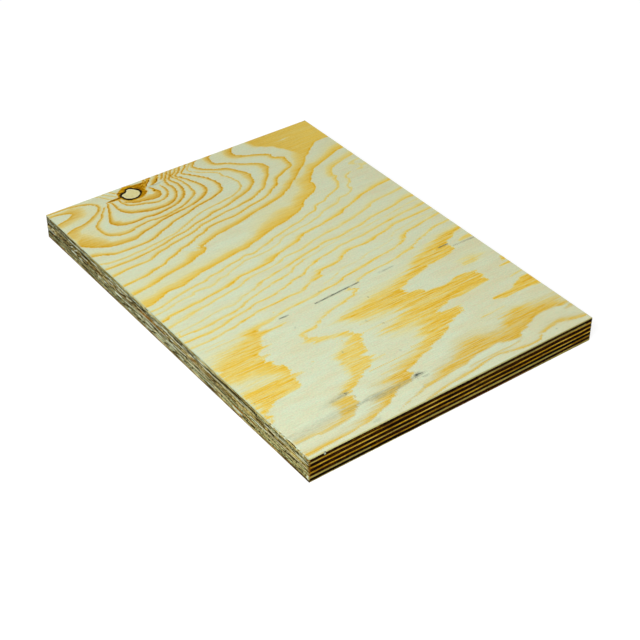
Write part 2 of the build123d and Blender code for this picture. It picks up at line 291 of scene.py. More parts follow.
           (-62, -25.7, 1.4), (-55, -24.4, 1.4), (-47, -23.8, 1.3), (-38, -23.6, 1.4), (-30, -22.7, 1.5),
           (-26, -22.8, 1.6), (-20, -22.9, 1.6), (-15, -21.5, 2), (-11, -19.5, 2.4), (-5, -17.3, 3),
           (0, -16.4, 4), (2, -13, 4), (4.5, -11.6, 2.4), (12, -11.2, 2.4), (19, -10.2, 2.4),
           (21.5, -8.4, 2.4), (26, -6, 2.6), (29.5, -4.2, 2.2), (34, -3.2, 1.8), (40, -3.9, 2),
           (46, -4.7, 2.6), (51, -4, 2.6), (57, -2.2, 2), (63, -.8, 2), (69, .7, 2.2), (75, 2.3, 2.2),
           (82, 2.8, 2.2), (90, 3, 2), (100, 3.3, 2), (111, 3.8, 2)]),
    (0.3, [(-3, -25, 1), (4, -23.3, 1.2), (12, -20.2, 1.2), (20, -17.7, 1.3), (29, -17.2, 1.2),
           (38, -15, 1.1), (46, -13.4, 1.1), (55, -12.9, 1.4), (62, -11.5, 1.2)]),
    (0.3, [(62, -8.5, 1), (67, -7.2, 1.2), (70, -5.2, 1.2), (76, -3.8, 1.1), (85, -2.8, 1.1),
           (95, -1.6, 1.2), (111, -1.4, 1.2)]),
    (0.7, [(-45.5, -34, 1.2), (-40, -33.3, 1.4), (-30, -32.6, 1.6), (-20, -32.2, 1.6), (-12, -31, 1.5),
           (-4, -30.1, 1.4), (4, -29.3, 1.5), (9, -28.2, 1.6), (13, -26.5, 1.8), (20, -25.2, 1.6),
           (29, -24.3, 1.6), (38, -22.6, 1.8), (45, -22, 2), (52, -20.6, 1.8), (59, -19.8, 1.8),
           (65, -17.8, 2.2), (69.5, -16.2, 3.4), (72.5, -13.2, 3.6), (77, -10, 2.8), (83, -8.7, 2),
           (91, -7.5, 1.8), (100, -6.2, 1.8), (111, -4.7, 1.8)]),
    (0.6, [(13, -36.2, 1), (15.5, -34.6, 1.4), (22, -32.6, 1.4), (30, -31.6, 1.3), (40, -31, 1.1),
           (48, -30.2, 1.1), (54, -29.2, 1.3), (59, -28.2, 2.2), (67, -27.2, 2.4), (72, -24.2, 1.6),
           (77, -21.8, 1.4), (85, -19.8, 1.4), (91, -17.5, 1.4), (99, -16.1, 1.4), (111, -15, 1.5)]),
    (0.55, [(-47, -60, 1.5), (-42, -58.8, 2), (-35, -59, 2.6), (-31.5, -57, 2.6), (-28, -54.3, 2.4),
            (-21, -51.3, 1.8), (-13, -49.8, 1.6), (-5, -48.2, 1.6), (1, -46.6, 1.6), (6.5, -46.2, 1.8),
            (4.5, -44.6, 2), (8.5, -42.5, 3), (8.5, -40, 3), (5.5, -38, 2)]),
    (0.65, [(-22, -152.5, 1), (-12, -151, 1.2), (0, -149.5, 1.4), (10, -148.7, 1.4), (20, -147.7, 1.3),
            (28, -146.4, 1.2), (35, -145.7, 1.1), (42, -146.6, 1.2), (48, -148, 1.2), (55, -149.6, 1.2),
            (62, -150.4, 1.4), (69, -149.6, 1.6), (72, -147.4, 1.8), (77, -145.3, 2), (84, -144.5, 3),
            (90, -144, 3.4), (96, -145.7, 3.6), (103, -148, 3), (111, -148.8, 2)]),
    (0.35, [(15, -145, .8), (25, -143.8, .9), (40, -143.9, .9), (55, -144, .9), (62, -142.5, 1)]),
    (0.5, [(100, -89.6, .6), (104, -89, .9), (111, -88.8, .9)]),
]

# broad figure where the knife ran along a ring: strength, then x, y and how softly the wood fades in
# from the side that starts at that point
broadFigure = [
    (0.7, [(54, 154, 3), (55, 147, 3), (56, 143.5, 3), (59, 140.5, 2), (63, 137.5, 2), (68, 134.5, 2),
           (69, 131, 2), (72, 127.5, 2), (74, 122, 3), (75, 116, 3), (73, 110, 3), (80, 110, 2),
           (88, 116.5, 1), (94, 121, 1), (99, 123, 1), (112, 123.5, 1), (112, 154, 1)]),
    (0.35, [(96, 83, 1), (99, 85.5, 1), (104, 86.5, 1), (112, 87, 1), (112, 84, 1), (104, 83.5, 1),
            (103, 81, 1), (107, 80, 2), (112, 81, 2), (112, 74, 2), (106, 74.5, 1), (103, 72, 1),
            (97, 73.5, 1), (98, 75.5, 1), (103, 76, 1), (103, 79, 1), (99, 81, 1)]),
    (0.76, [(-45, -33.5, 1), (-45, -35.5, 2), (-56, -38.5, 2), (-64, -38.8, 1.5), (-66, -41, 1.2),
           (-60, -42.6, 1), (-45, -42.8, .8), (-45, -44, 1), (-62, -45, 1), (-67, -46.5, 1),
           (-69, -48.5, 1), (-67.5, -50, 1), (-72.5, -51.5, .8), (-73, -54, .8), (-66, -55.3, .8),
           (-67, -56.2, .8), (-74, -57, .8), (-79.5, -59.5, .8), (-80, -61.5, .8), (-73.5, -61.8, .8),
           (-73.5, -64.3, .8), (-79, -65.2, .8), (-80, -67, .8), (-76.5, -69.5, .8), (-77.5, -72, .8),
           (-74.5, -74.5, .8), (-73, -79, .8), (-71, -82.5, .8), (-73, -86.5, .8), (-66.5, -89.5, .8),
           (-74, -91, .8), (-73.8, -95, .8), (-75.5, -98.5, .8), (-80, -100.2, .8), (-95, -101, .8),
           (-101, -104, .8), (-106, -107, .8), (-105.5, -112, 1), (-108, -116, 1), (-112, -118, 3),
           (-112, -55, 8), (-107, -49, 8), (-96, -45, 7), (-82, -41.5, 6), (-77, -39, 4), (-75, -36, 3)]),
    (0.62, [(-49, -58, 2), (-41, -60.3, 1), (-44, -62, 1), (-41.5, -65, 1), (-39, -67.5, 1),
            (-33, -69.8, 1), (-25, -71, 1), (-20.5, -73, 1), (-19, -76.5, 1), (-15.5, -79.8, .8),
            (-17, -82, .8), (-17.3, -84.5, .8), (-20.5, -86.5, .8), (-20, -90, .8), (-22, -93, .8),
            (-21.5, -96, .8), (-29, -97.5, .8), (-26, -99, .8), (-22, -101.8, .8), (-29, -103, .8),
            (-27, -104.6, .8), (-17, -104.8, .6), (-18, -105.6, .6), (-30, -106.4, .8), (-30, -109.2, .8),
            (-38, -110.3, .8), (-40.5, -112, .8), (-40, -113.8, .8), (-45, -115, .8), (-48, -117.5, .8),
            (-52, -119.5, .8), (-54, -121.6, .8), (-60, -122, 1), (-56, -124.5, .8), (-58.5, -127.5, .8),
            (-57, -130, .8), (-61, -134, .8), (-65, -138.5, .8), (-73, -140, .8), (-84, -141, .8),
            (-93, -141.3, .8), (-97, -139.8, .8), (-112, -139.6, 1), (-112, -136, 3), (-90, -136.5, 4),
            (-76, -135, 3.5), (-72, -128, 3.5), (-71, -122, 3.5), (-62, -119.5, 3), (-59, -114.5, 3),
            (-49, -110, 2.5), (-45, -104, 2.5), (-44.5, -90, 2.5), (-41, -85.5, 3.5), (-31, -82.5, 3),
            (-27, -78.5, 2.5), (-33, -73.5, 1.5), (-50, -71.8, 1.2), (-46, -69.5, 1.2), (-56, -66.5, 1.5),
            (-47, -64.5, 1.5)]),
    (0.8, [(112, -28.5, 1), (103, -29.5, 1), (96.5, -32.5, 1), (92, -35, .8), (89, -36, .8),
           (90, -39.5, .8), (91.5, -42, .8), (89.5, -44.5, .8), (87, -46.5, .8), (79, -47.5, .8),
           (70, -48.8, .8), (65, -48.2, .8), (62, -50, .8), (55, -51.8, .8), (47, -53.5, .8),
           (42, -54, .8), (40.5, -56.5, .8), (32, -58.3, .8), (35.5, -60.3, .8), (33.5, -62, .8),
           (35, -63.8, .8), (39.5, -64.5, .8), (43.5, -67, .8), (43.5, -69.2, .8), (52, -70, .8),
           (60, -70.8, .8), (67, -69, .8), (72, -68.2, .8), (79.5, -68.6, .8), (80, -70, .8),
           (85, -71, .8), (85.5, -74.5, .8), (88, -77.5, .8), (85, -80, .8), (86, -83.3, .8),
           (80, -85.2, .8), (68, -86.3, .8), (57, -87, .8), (51, -85.6, .8), (46, -87.5, .8),
           (42, -89, .8), (36, -90.2, .8), (35.5, -92.3, .8), (45, -93, .6), (55, -93.4, .6),
           (50, -95.2, .8), (53, -97.2, .8), (50, -98.3, .8), (48.5, -100.5, .8), (42, -101, .8),
           (38, -104, .8), (33.5, -104.8, .8), (31, -107.8, .8), (26.5, -109.5, .8), (22.5, -112.8, .8),
           (15, -114, .8), (8, -117, .8), (0, -119, .8), (-6, -121, .8), (-9.5, -123.5, .8),
           (-14.5, -124.5, .8), (-15, -128, .8), (-18, -131, .8), (-20, -134.3, .8), (-30, -134.7, .8),
           (-35, -137, .8), (-39.5, -140, .8), (-44, -142.3, .8), (-51, -144.2, .8), (-57, -147, .8),
           (-66, -148.2, .8), (-78, -149.8, .8), (-92, -150.2, .8), (-112, -151.2, 1), (-112, -146.5, 3),
           (-92, -147, 3), (-75, -146.5, 3), (-60, -142.5, 4), (-47, -138, 5), (-46, -134, 6),
           (-35, -129.5, 6), (-38, -123, 3), (-24, -121.5, 4), (-16, -117.5, 3), (-3, -114.5, 3),
           (6, -108, 4), (14, -104, 8), (15, -98, 8), (12, -94, 8), (-2, -90, 5), (-5, -87, 5),
           (3, -84, 5), (10, -81, 6), (16, -78, 6), (12, -73.5, 6), (-6, -70.5, 4), (-14, -67, 6),
           (-17, -63, 5), (-22, -60.5, 3), (-10, -58, 4), (0, -55, 5), (12, -52, 6), (28, -50, 5),
           (44, -45.5, 4), (55, -41.5, 4), (61, -35.5, 4), (69, -32, 3.5), (82, -28.5, 3.5), (87, -24.5, 3),
           (112, -22.5, 2.6)]),
    (0.5, [(79, -60, 4), (84, -57, 5), (92, -54.5, 6), (100, -55.5, 6), (103, -58.5, 4), (99, -62, 2),
           (92, -64, 2), (83, -63.5, 2)]),
    (0.8, [(97, -77, .8), (101, -75.8, .8), (106, -75, .8), (112, -74.8, .8), (112, -78.5, .8),
           (101, -78, .8)]),
    (0.8, [(105, -73.5, 1), (107, -71, 1), (108, -68, 1), (112, -67.5, 1), (112, -73.8, 1)]),
    (0.6, [(98, -39.6, 1), (99, -37, 1), (103, -35.3, 1.5), (112, -34.6, 2), (112, -40.2, .8)]),
    (0.85, [(72, -103, .8), (74, -100, 1), (80, -99.8, 1), (88, -99.6, 1), (94, -97, 1), (99, -94.2, 1),
            (102, -93.4, 1), (112, -93.2, 1), (112, -106.8, .8), (105, -106.5, .8), (101, -105, .8),
            (90, -104.6, .8), (80, -105.5, .8)]),
    (0.75, [(112, -131.5, 1), (105, -133, 1), (98, -131.2, 1), (92, -130, 1), (84, -130.8, 1),
            (78, -132.7, 1), (72, -135.7, 1), (66, -137.8, 1), (61, -141.5, 1), (52, -140, 1.2),
            (45, -137.3, 1.2), (38, -138, 1), (29, -138.2, 1), (22, -139.4, 1), (15, -141.8, 1),
            (8, -141.5, 1), (0, -142.6, 1), (-10, -143.3, 1), (-20, -145.3, 1), (-30, -147.3, 1),
            (-38, -149.5, 1), (-47, -151, 1), (-44, -149.5, 2), (-32, -145.5, 2), (-18, -141.8, 3),
            (-8, -139.5, 3), (0, -134.5, 4), (12, -132.5, 5), (22, -126, 6), (32, -121, 6), (42, -121, 7),
            (50, -127, 5), (57, -126.5, 5), (62, -121, 5), (64, -116, 4), (72, -114.5, 4), (84, -117, 6),
            (95, -119.5, 6), (112, -122, 6)]),
    (0.55, [(101, -134.5, 2), (106, -132.5, 2), (112, -132.5, 2), (112, -137.5, 1), (104, -137, 1)]),
]

# pale gaps inside the broad figure, drawn the same way
paleGaps = [
    (0.7, [(-112, -72, 4), (-95, -73, 4), (-82, -78, 3), (-79, -83, 3), (-84, -86.5, 2), (-112, -86, 2)]),
    (0.8, [(73, 139.5, .5), (80, 140.6, .5), (88, 140.3, .5), (80, 139, .5)]),
    (0.9, [(-85, -62.9, .4), (-82, -62.3, .4), (-74, -62.3, .4), (-74, -63.6, .4), (-82, -63.6, .4)]),
    (0.7, [(70, -38.3, .6), (76, -36.6, .6), (80, -37.2, .6), (75, -38.8, .6)]),
    (0.5, [(8, -76.5, 1), (18, -75.8, 1), (18, -79.5, 1), (8, -80, 1)]),
]

# brush marks: strength, then x, y and half width
resinMarks = [
    (0.4, [(-69, 141.2, .4), (-64, 141.2, 1), (-60, 141, 1.5), (-57.5, 141, 2)]),
    (0.72, [(-67.2, 141.5, .35), (-63, 141.3, .4), (-60, 141.3, .45)]),
    (0.95, [(-60.5, 141.3, .35), (-58, 141.4, .65), (-56.6, 141.7, 1)]),
    (0.48, [(-57.6, 145.6, .6), (-56, 147, .9), (-53.5, 148.6, 1.2), (-50.5, 150.6, 1.3), (-48.6, 153.4, 1.1)]),
    (0.9, [(-56.6, 147.7, .35), (-54.9, 148.1, .3)]),
    (0.75, [(-53.2, 149, .3), (-51.6, 149.8, .3)]),
    (0.62, [(-45.5, 149.6, 1.1), (-42, 149.4, 1.3), (-38, 149.2, 1.2), (-34.5, 149.6, .7)]),
    (0.74, [(-41.8, 147.5, 1.5), (-40.2, 143, 1.8), (-40, 138.5, 1.6), (-43, 135.2, .9)]),
    (0.62, [(-38.6, 147.4, .9), (-37.4, 145.4, 1), (-35.4, 144.2, .7)]),
    (1, [(-38.4, 143.9, .5), (-37.6, 143.5, .5)]),
    (0.9, [(-30.6, 143.2, .3), (-27.6, 144.5, .35), (-24.6, 146.6, .35), (-22.6, 149.4, .35), (-20.9, 152.6, .4)]),
    (0.85, [(-37.4, 145.8, .3), (-34.5, 148, .35), (-31, 151.2, .35), (-29.5, 153.5, .35)]),
    (0.85, [(-35.6, 143.7, .3), (-32.8, 147, .35), (-29.8, 149.6, .35), (-27.5, 153, .35)]),
    (0.55, [(-34.3, 140.6, .6), (-33.4, 139, .9), (-33, 137.4, .5), (-32.4, 136, 1.2), (-33.6, 135.2, .8)]),
    (0.9, [(-32.6, 136.2, .4), (-31.9, 135.7, .4)]),
]
stainMarks = [
    (0.75, [(-62.4, -121.4, .3), (-60.6, -120.3, .5), (-58.4, -119.4, .5), (-57.2, -118.8, .3)]),
    (0.4, [(-70, -121.2, .6), (-65, -120.8, 1), (-60, -119.8, 1.2), (-57.5, -119, .6)]),
    (0.1, [(-78, -122, 1.6), (-70, -121, 2.4), (-60, -119, 2)]),
    (0.9, [(-16.2, -132.6, .4), (-14, -131.4, .9), (-11.6, -131.3, .8), (-9.4, -131.8, .4)]),
    (0.45, [(-18, -132.6, .8), (-14, -131.6, 1.5), (-11, -131.4, 1.4), (-8.6, -131.8, .6)]),
    (0.4, [(-15.6, -134.6, .4), (-12, -135.1, .6), (-8.8, -134.9, .4)]),
    (0.3, [(-66, -133.4, .5), (-58, -132.2, 1), (-48, -131.6, 1.3), (-36, -132, 1.2), (-26, -131.8, 1),
           (-19, -132.4, .7)]),
    (0.3, [(-50, -133.4, .8), (-43, -134, 1.6), (-34, -133.8, 1.5), (-24, -133.6, 1), (-19, -133.2, .5)]),
    (0.13, [(-112, -133.4, 2.4), (-95, -132.8, 3), (-78, -131.6, 2.8), (-64, -132.6, 2)]),
    (0.22, [(-62, -149.8, .6), (-59, -149.5, 1.2), (-56, -149.4, .9)]),
    (0.55, [(93, -41, .25), (98, -40.9, .4), (103, -40.9, .5), (111, -41, .5)]),
    (0.3, [(32, -35.9, .4), (36, -35.8, .5)]),
    (0.16, [(38, -35.6, .4), (46, -35.2, .4)]),
    (0.3, [(-37, 142.6, .5), (-30, 142.4, .7), (-22, 142.8, .5)]),
    (0.6, [(107, 152.8, .4), (109.8, 152.5, .6)]),
]
# single gold fibres, drawn as the brush marks are
goldFibres = [
    (0.7, [(-20, -59.6, .3), (10, -59.9, .35), (36, -59.6, .3)]), (0.6, [(-20, -62.1, .3), (-9, -62.1, .3)]),
    (0.5, [(-12, -72.5, .3), (8, -72.4, .3)]), (0.45, [(-15, -80, .3), (22, -79.8, .3)]),
    (0.6, [(-4, -84.6, .35), (8, -84.6, .4)]), (0.65, [(-2.5, -88.4, .4), (14, -88.2, .4)]),
    (0.5, [(16, -98.4, .3), (30, -98.2, .3)]), (0.5, [(2, -108.4, .35), (27, -108, .35)]),
    (0.6, [(-36, -111.9, .3), (22, -111.7, .35)]), (0.6, [(-22, -115.8, .35), (8, -115.6, .4)]),
    (0.4, [(-32, -118.6, .3), (-12, -118.5, .35)]), (0.55, [(-45, -123.5, .3), (-20, -123.6, .35)]),
    (0.45, [(53, -111.8, .3), (63, -111.7, .3)]), (0.55, [(55, -111.6, .3), (74, -111.5, .35)]),
    (0.5, [(62, -118.8, .3), (110, -118.6, .3)]), (0.4, [(44, -128.6, .35), (70, -128.4, .35)]),
    (0.45, [(-104, -38.6, .3), (-74, -38.2, .3)]), (0.4, [(-110, -35.4, .3), (-88, -35.2, .35)]),
    (0.5, [(-70, -45, .3), (-49, -44.6, .3)]), (0.5, [(-66, -42.8, .3), (-46, -42.9, .3)]),
    (0.45, [(-72, -127.6, .3), (-58, -127.4, .3)]), (0.4, [(-50, -104.9, .3), (-18, -104.8, .35)]),
]
darkSpecks = [(-12, -9), (-11.3, -29.2), (10, -52.6), (1, -79.6), (-6, -71.8), (-7.8, -107), (-36.8, -87.8),
              (-107.3, -96), (-18, -142.5), (-56, -125.5), (84, -148), (-46, -51)]

# how the grain above is laid down, with lengths in mm
grainLook = {
    "ringWidth": 1.35,         # times the width given with a ring
    "widerAtBack": 0.45,       # added to that near the back edge
    "ringStrength": 1.2,       # times the strength given with a ring
    "darkLine": 0.32,          # share of a ring's strength that its outer edge has to itself
    "darkLineWidth": 0.9,
    "longTail": 0.28,          # strength that fades out slowly on the inner side
    "ringEdge": 0.45,          # how far a ring fades on its outer side
    "ringEnd": 5.0,            # and past its two ends
    "softSide": 2.4,           # sides of the figure that start softer than this fade in
    "halo": 0.3,               # how strongly a soft side starts
    "sharpSideDarker": 0.15,
}


# the grain, turned into values from 0 to 1 at any spot of the face

def ringLatewood(x, y):
    look = grainLook
    late = np.zeros(len(x))
    for strength, points in growthRings:
        line = smoothLine(points)
        at = near(line, x, y, 3.6 * line[:, 2].max() + 1)
        distance, side, where, past = nearestOn(line, x[at], y[at])
        width = (look["ringWidth"] + look["widerAtBack"] * smoothstep(50, 110, y[at])) * valueAlong(line, where, 2)
        inside = (np.clip((1 - look["darkLine"]) * (1 - (distance / width) ** 1.7), 0, 1)
                  + look["darkLine"] * np.exp(-(distance / look["darkLineWidth"]) ** 2))
        inside = np.maximum(inside, look["longTail"] * np.clip(1 - distance / width / 2.2, 0, 1))
        outside = np.clip(1 - distance / look["ringEdge"], 0, 1)
        value = min(1, look["ringStrength"] * strength) * np.where(side > 0, inside, outside)
        raiseTo(late, at, value * np.clip(1 - past / look["ringEnd"], 0, 1))
    return late


def insideShape(points, x, y):
    inside = np.zeros(len(x), bool)
    for (ax, ay), (bx, by) in zip(points, np.roll(points, -1, 0)):
        if ay != by:
            inside ^= ((ay > y) != (by > y)) & (x < ax + (y - ay) * (bx - ax) / (by - ay))
    return inside


# soft sides fade in through long fibres and leave a faint halo outside, the others end in a sharp comb
def figureValue(shapes, x, y, fibre):
    halo, darker = grainLook["halo"], grainLook["sharpSideDarker"]
    total = np.zeros(len(x))
    for strength, points in shapes:
        p = np.array(points, float)
        at = near(p, x, y, 10)
        px, py = x[at], y[at]
        fx = px + fibre[at] * min(1, p[:, 2].max() / 7)
        comb, softness = np.ones(len(at)), np.ones(len(at))
        fromSoft, fromSharp, fibreSoft, fibreSharp = np.full((4, len(at)), 99.0)
        for a, b in zip(p, np.roll(p, -1, 0)):
            distance, shifted = (nearestOn(np.array([a, b]), across, py)[0] for across in (px, fx))
            if a[2] > grainLook["softSide"]:
                softness[shifted < fibreSoft] = a[2]
                fromSoft, fibreSoft = np.minimum(fromSoft, distance), np.minimum(fibreSoft, shifted)
            else:
                comb = np.minimum(comb, distance / a[2])
                fromSharp, fibreSharp = np.minimum(fromSharp, distance), np.minimum(fibreSharp, shifted)
        outside = ~insideShape(p[:, :2], px, py)
        comb[outside] = np.clip((fromSharp - fromSoft) / 2, 0, 1)[outside]
        beyond = ~insideShape(p[:, :2], fx, py) & (fibreSoft < fibreSharp)
        fade = np.where(beyond, halo * (1 - fibreSoft / softness / 1.5), halo + (1 - halo) * fibreSoft / softness)
        value = np.minimum(comb, np.clip(fade, 0, 1))
        value = value * (1 - darker + darker * np.exp(-fromSharp / 3.5))
        raiseTo(total, at, strength * value)
    return total


# brush marks and strokes: full inside, and gone at spread times their half width
def brushValue(marks, x, y, reach=6, spread=1.6):
    total = np.zeros(len(x))
    for strength, points in marks:
        line = smoothLine(points, 0.5)
        at = near(line, x, y, reach)
        distance, _, where, _ = nearestOn(line, x[at], y[at])
        raiseTo(total, at, strength * smoothstep(0, 1, spread - distance / valueAlong(line, where, 2)))
    return total


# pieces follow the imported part: each ply's outline is read from its own mesh

def plyOutlines(node):        # in mm, the outer outline first and then the holes
    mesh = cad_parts[node].data
    spots = [(round(v.co.x / mm, 2), round(v.co.y / mm, 2)) for v in mesh.vertices]
    sides = set()
    for face in mesh.polygons:
        if face.normal.z > 0.9:
            ring = [spots[i] for i in face.vertices]
            for a, b in zip(ring, ring[1:] + ring[:1]):
                if (b, a) in sides:
                    sides.remove((b, a))
                else:
                    sides.add((a, b))
    following = dict(sides)
    loops = []
    while following:
        loop = [min(following)]
        while loop[-1] in following:
            loop.append(following.pop(loop[-1]))
        loops.append(np.array(loop[:-1]))
    return sorted(loops, key=lambda loop: -np.ptp(loop[:, 0]) * np.ptp(loop[:, 1]))


def evenOutline(loop, step):        # the same outline with a point at least every step
    made = []
    for a, b in zip(loop, np.roll(loop, -1, 0)):
        count = max(1, math.ceil(np.hypot(*(b - a)) / step))
        made += [a + (b - a) * i / count for i in range(count)]
    return np.array(made)


def outward(loop):        # how to step out of the wood at each point of an outline
    ahead = np.roll(loop, -1, 0) - loop
    ahead /= np.hypot(ahead[:, 0], ahead[:, 1])[:, None]
    behind = np.roll(ahead, 1, 0)
    out = np.stack([ahead[:, 1] + behind[:, 1], -ahead[:, 0] - behind[:, 0]], 1)
    return out / np.maximum(1 + (ahead * behind).sum(1), 0.6)[:, None]


def fillOutlines(loops, inner=()):        # triangles between the outlines, through the inner points
    edges, start = [], 0
    for loop in loops:
        edges += [(start + i, start + (i + 1) % len(loop)) for i in range(len(loop))]
        start += len(loop)
    points = [Vector(p) for p in np.vstack([*loops, inner] if len(inner) else loops)]
    _, _, faces, origin, _, _ = delaunay_2d_cdt(points, edges, [], 1, 1e-5)
    faces = np.array([[origin[i][0] for i in face] for face in faces])
    start = len(loops[0])
    for hole in loops[1:]:        # triangles that span a hole come out again
        own = np.flatnonzero(((faces >= start) & (faces < start + len(hole))).all(1))
        middle = hole[faces[own] - start].mean(1)
        faces = np.delete(faces, own[insideShape(hole, middle[:, 0], middle[:, 1])], 0)
        start += len(hole)
    return faces.tolist()


sharpAngle = 42


# a ply as one closed mesh: rows of points round its edge, each pushed in by the wear, and its two faces
def buildPly(name, loops, low, high, levels, pushIn, inner=np.zeros((0, 2)), innerHeight=None):
    rim = np.vstack(loops)
    out = np.vstack([outward(loop) for loop in loops])
    rows = []
    for level in levels:
        moved = rim - out * pushIn(rim[:, 0], rim[:, 1], out[:, 0], out[:, 1], level)[:, None]
        height = np.full(len(rim), low + (high - low) * level)
        rows.append(np.column_stack([moved, height + plyShift(rim[:, 0], rim[:, 1], height)]))
    top = len(rim) * (len(levels) - 1)
    heights = innerHeight if innerHeight is not None else np.full(len(inner), high)
    points = np.vstack(rows + [np.column_stack([inner, heights])])
    faces, start = [], 0
    for loop in loops:
        for i in range(len(loop)):
            a, b = start + i, start + (i + 1) % len(loop)
            for row in range(len(levels) - 1):
                step = row * len(rim)
                faces.append((a + step, b + step, b + step + len(rim), a + step + len(rim)))
        start += len(loop)
    faces += [[i + top for i in face] for face in fillOutlines(loops, inner)]
    faces += [face[::-1] for face in fillOutlines(loops)]
    mesh = bpy.data.meshes.new(name)
    mesh.from_pydata((points * mm).tolist(), [], faces)
    mesh.validate()
    mesh.shade_smooth()
    mesh.set_sharp_from_angle(angle=math.radians(sharpAngle))
    piece = bpy.data.objects.new(name, mesh)
    bpy.context.collection.objects.link(piece)
    return piece, points


def setValues(piece, name, values):
    piece.data.attributes.new(name, "FLOAT", "POINT").data.foreach_set("value", np.asarray(values, np.float32))


# node recipes

class Finish:
    def __init__(self, name, roughness, gloss):
        self.material = bpy.data.materials.new(name)
        self.material.use_nodes = True
        self.tree = self.material.node_tree
        self.surface = self.tree.nodes["Principled BSDF"]
        self.surface.inputs["Roughness"].default_value = roughness
        self.surface.inputs["Specular IOR Level"].default_value = gloss

    def put(self, kind, inputs, **settings):
        node = self.tree.nodes.new("ShaderNode" + kind)
        for key, value in settings.items():
            setattr(node, key, value)
        for key, value in inputs.items():
            if isinstance(value, bpy.types.NodeSocket):
                self.tree.links.new(value, node.inputs[key])
            else:
                node.inputs[key].default_value = value
        return node

    def painted(self, name):        # a value stored on the mesh
        return self.put("Attribute", {}, attribute_name=name).outputs["Fac"]

    def place(self):        # where a spot is in the part's own frame, in metres
        return self.put("SeparateXYZ", {0: self.put("TexCoord", {}).outputs["Object"]}).outputs

    # sizes of one bump in mm along x, y, z; tilt leans the streaks up towards the near left corner
    def noise(self, sizes, detail=2.0, rough=0.5, shift=0.0, bend=0.0, tilt=0.0):
        spot = self.put("TexCoord", {}).outputs["Object"]
        if tilt:
            spot = self.put("VectorRotate", {"Vector": spot, "Angle": math.radians(-tilt)},
                            rotation_type="X_AXIS").outputs[0]
        spread = self.put("Mapping", {"Vector": spot, "Scale": [1 / (s * mm) for s in sizes],
                                      "Location": (shift, shift * 0.7, shift * 0.3)}).outputs["Vector"]
        return self.put("TexNoise", {"Vector": spread, "Scale": 1.0, "Detail": detail, "Roughness": rough,
                                     "Distortion": bend}).outputs["Fac"]

    def math(self, operation, *values, clamp=False):
        return self.put("Math", dict(enumerate(values)), operation=operation, use_clamp=clamp).outputs[0]

    def between(self, value, low, high, outLow=0.0, outHigh=1.0):
        return self.put("MapRange", {0: value, 1: low, 2: high, 3: outLow, 4: outHigh}).outputs[0]

    def mix(self, amount, first, second, blend="MIX"):
        return self.put("Mix", {0: amount, 6: first, 7: second}, data_type="RGBA", blend_type=blend).outputs[2]

    def grey(self, value):
        return self.put("CombineColor", {0: value, 1: value, 2: value}).outputs[0]

    def ramp(self, value, stops):
        node = self.put("ValToRGB", {0: value})
        while len(node.color_ramp.elements) < len(stops):
            node.color_ramp.elements.new(0.5)
        for element, (place, colour) in zip(node.color_ramp.elements, stops):
            element.position, element.color = place, linear(*colour)
        return node.outputs[0]

    def wear(self, piece, colour, height, strength, depth, roughness=None):
        self.tree.links.new(colour, self.surface.inputs["Base Color"])
        if roughness is not None:
            self.tree.links.new(roughness, self.surface.inputs["Roughness"])
        bump = self.put("Bump", {"Strength": strength, "Distance": depth * mm, "Height": height})
        self.tree.links.new(bump.outputs[0], self.surface.inputs["Normal"])
        piece.data.materials.append(self.material)


# the face veneer, with its knot hole, checks and chipped edges

faceVeneer = {
    "gridUpper": (0.95, 0.8),      # mesh spacing along and across the grain near the knot
    "gridLower": (1.45, 0.62),     # and over the rest of the face
    "upperFrom": 92.0,             # where the part near the knot starts
    "gridInset": 0.4,              # no inner points this near the panel's edges
    "gridGap": 0.34,               # nor this near any outline
    "outlineStep": 0.8,            # spacing of the points round the panel
    "holeStep": 0.5,               # and round the knot hole and the checks
    "roundedEdge": 0.12,
    "raggedKnot": 0.45,            # how far fibres shift the figure along the grain
    "raggedLower": 2.4,
    "barkWidth": 1.3,              # dark rim of the knot hole
    "barkThicker": 0.4,            # added to that at its lower left
    "speckWidth": 0.9,
    "knotMiddle": (-40, 144),      # the wood is browner the nearer it is to this spot
    "heartReach": (140, 14),       # from this far off, and fully from this near
    "pale": (217, 227, 194),
    "paleWarm": (220, 217, 174),
    "paleHeart": (206, 212, 178),
    "latewood": [(0.0, (218, 227, 192)), (0.14, (222, 221, 170)), (0.34, (228, 215, 140)),
                 (0.56, (233, 206, 102)), (0.8, (235, 193, 60)), (1.0, (221, 165, 20))],
    "heartwood": (184, 124, 0),
    "dullFront": (244, 241, 246),      # dulls the gold along the front
    "resin": [(0.0, (222, 188, 70)), (0.35, (216, 164, 8)), (0.7, (172, 116, 0)), (1.0, (58, 36, 0))],
    "bark": (6, 3, 1),
    # colour of stains and specks, and of the painted shade along the checks
    "stainAndShade": (84, 92, 84),
    "mottle": ((226, 206, 176), (196, 220, 184)),      # warm and cool specks of the pale wood
    "fineLines": (158, 140, 92),
    # paler band along the panel's edges: worn wood, partly painted highlight where the rounded edge catches the light
    "wornEdgeAndHighlight": (220, 226, 198),
    "leftSide": (216, 226, 226),      # tints the edge that faces left
    # painted shade on the front edge, deeper towards its right end
    "frontSideShade": ((248, 238, 192), (194, 182, 124)),      # and the front one, from its left end to its right end
    "checksClosed": (0.12, 0.75, 0.0, 0.2),      # how far each check has closed again, the longest first
    # how strongly painted shade darkens the wood along each check, in the stain colour
    "checksShaded": (0.85, 0.4, 0.8, 0.7),
    "roughness": 0.6,
    "gloss": 0.03,
}


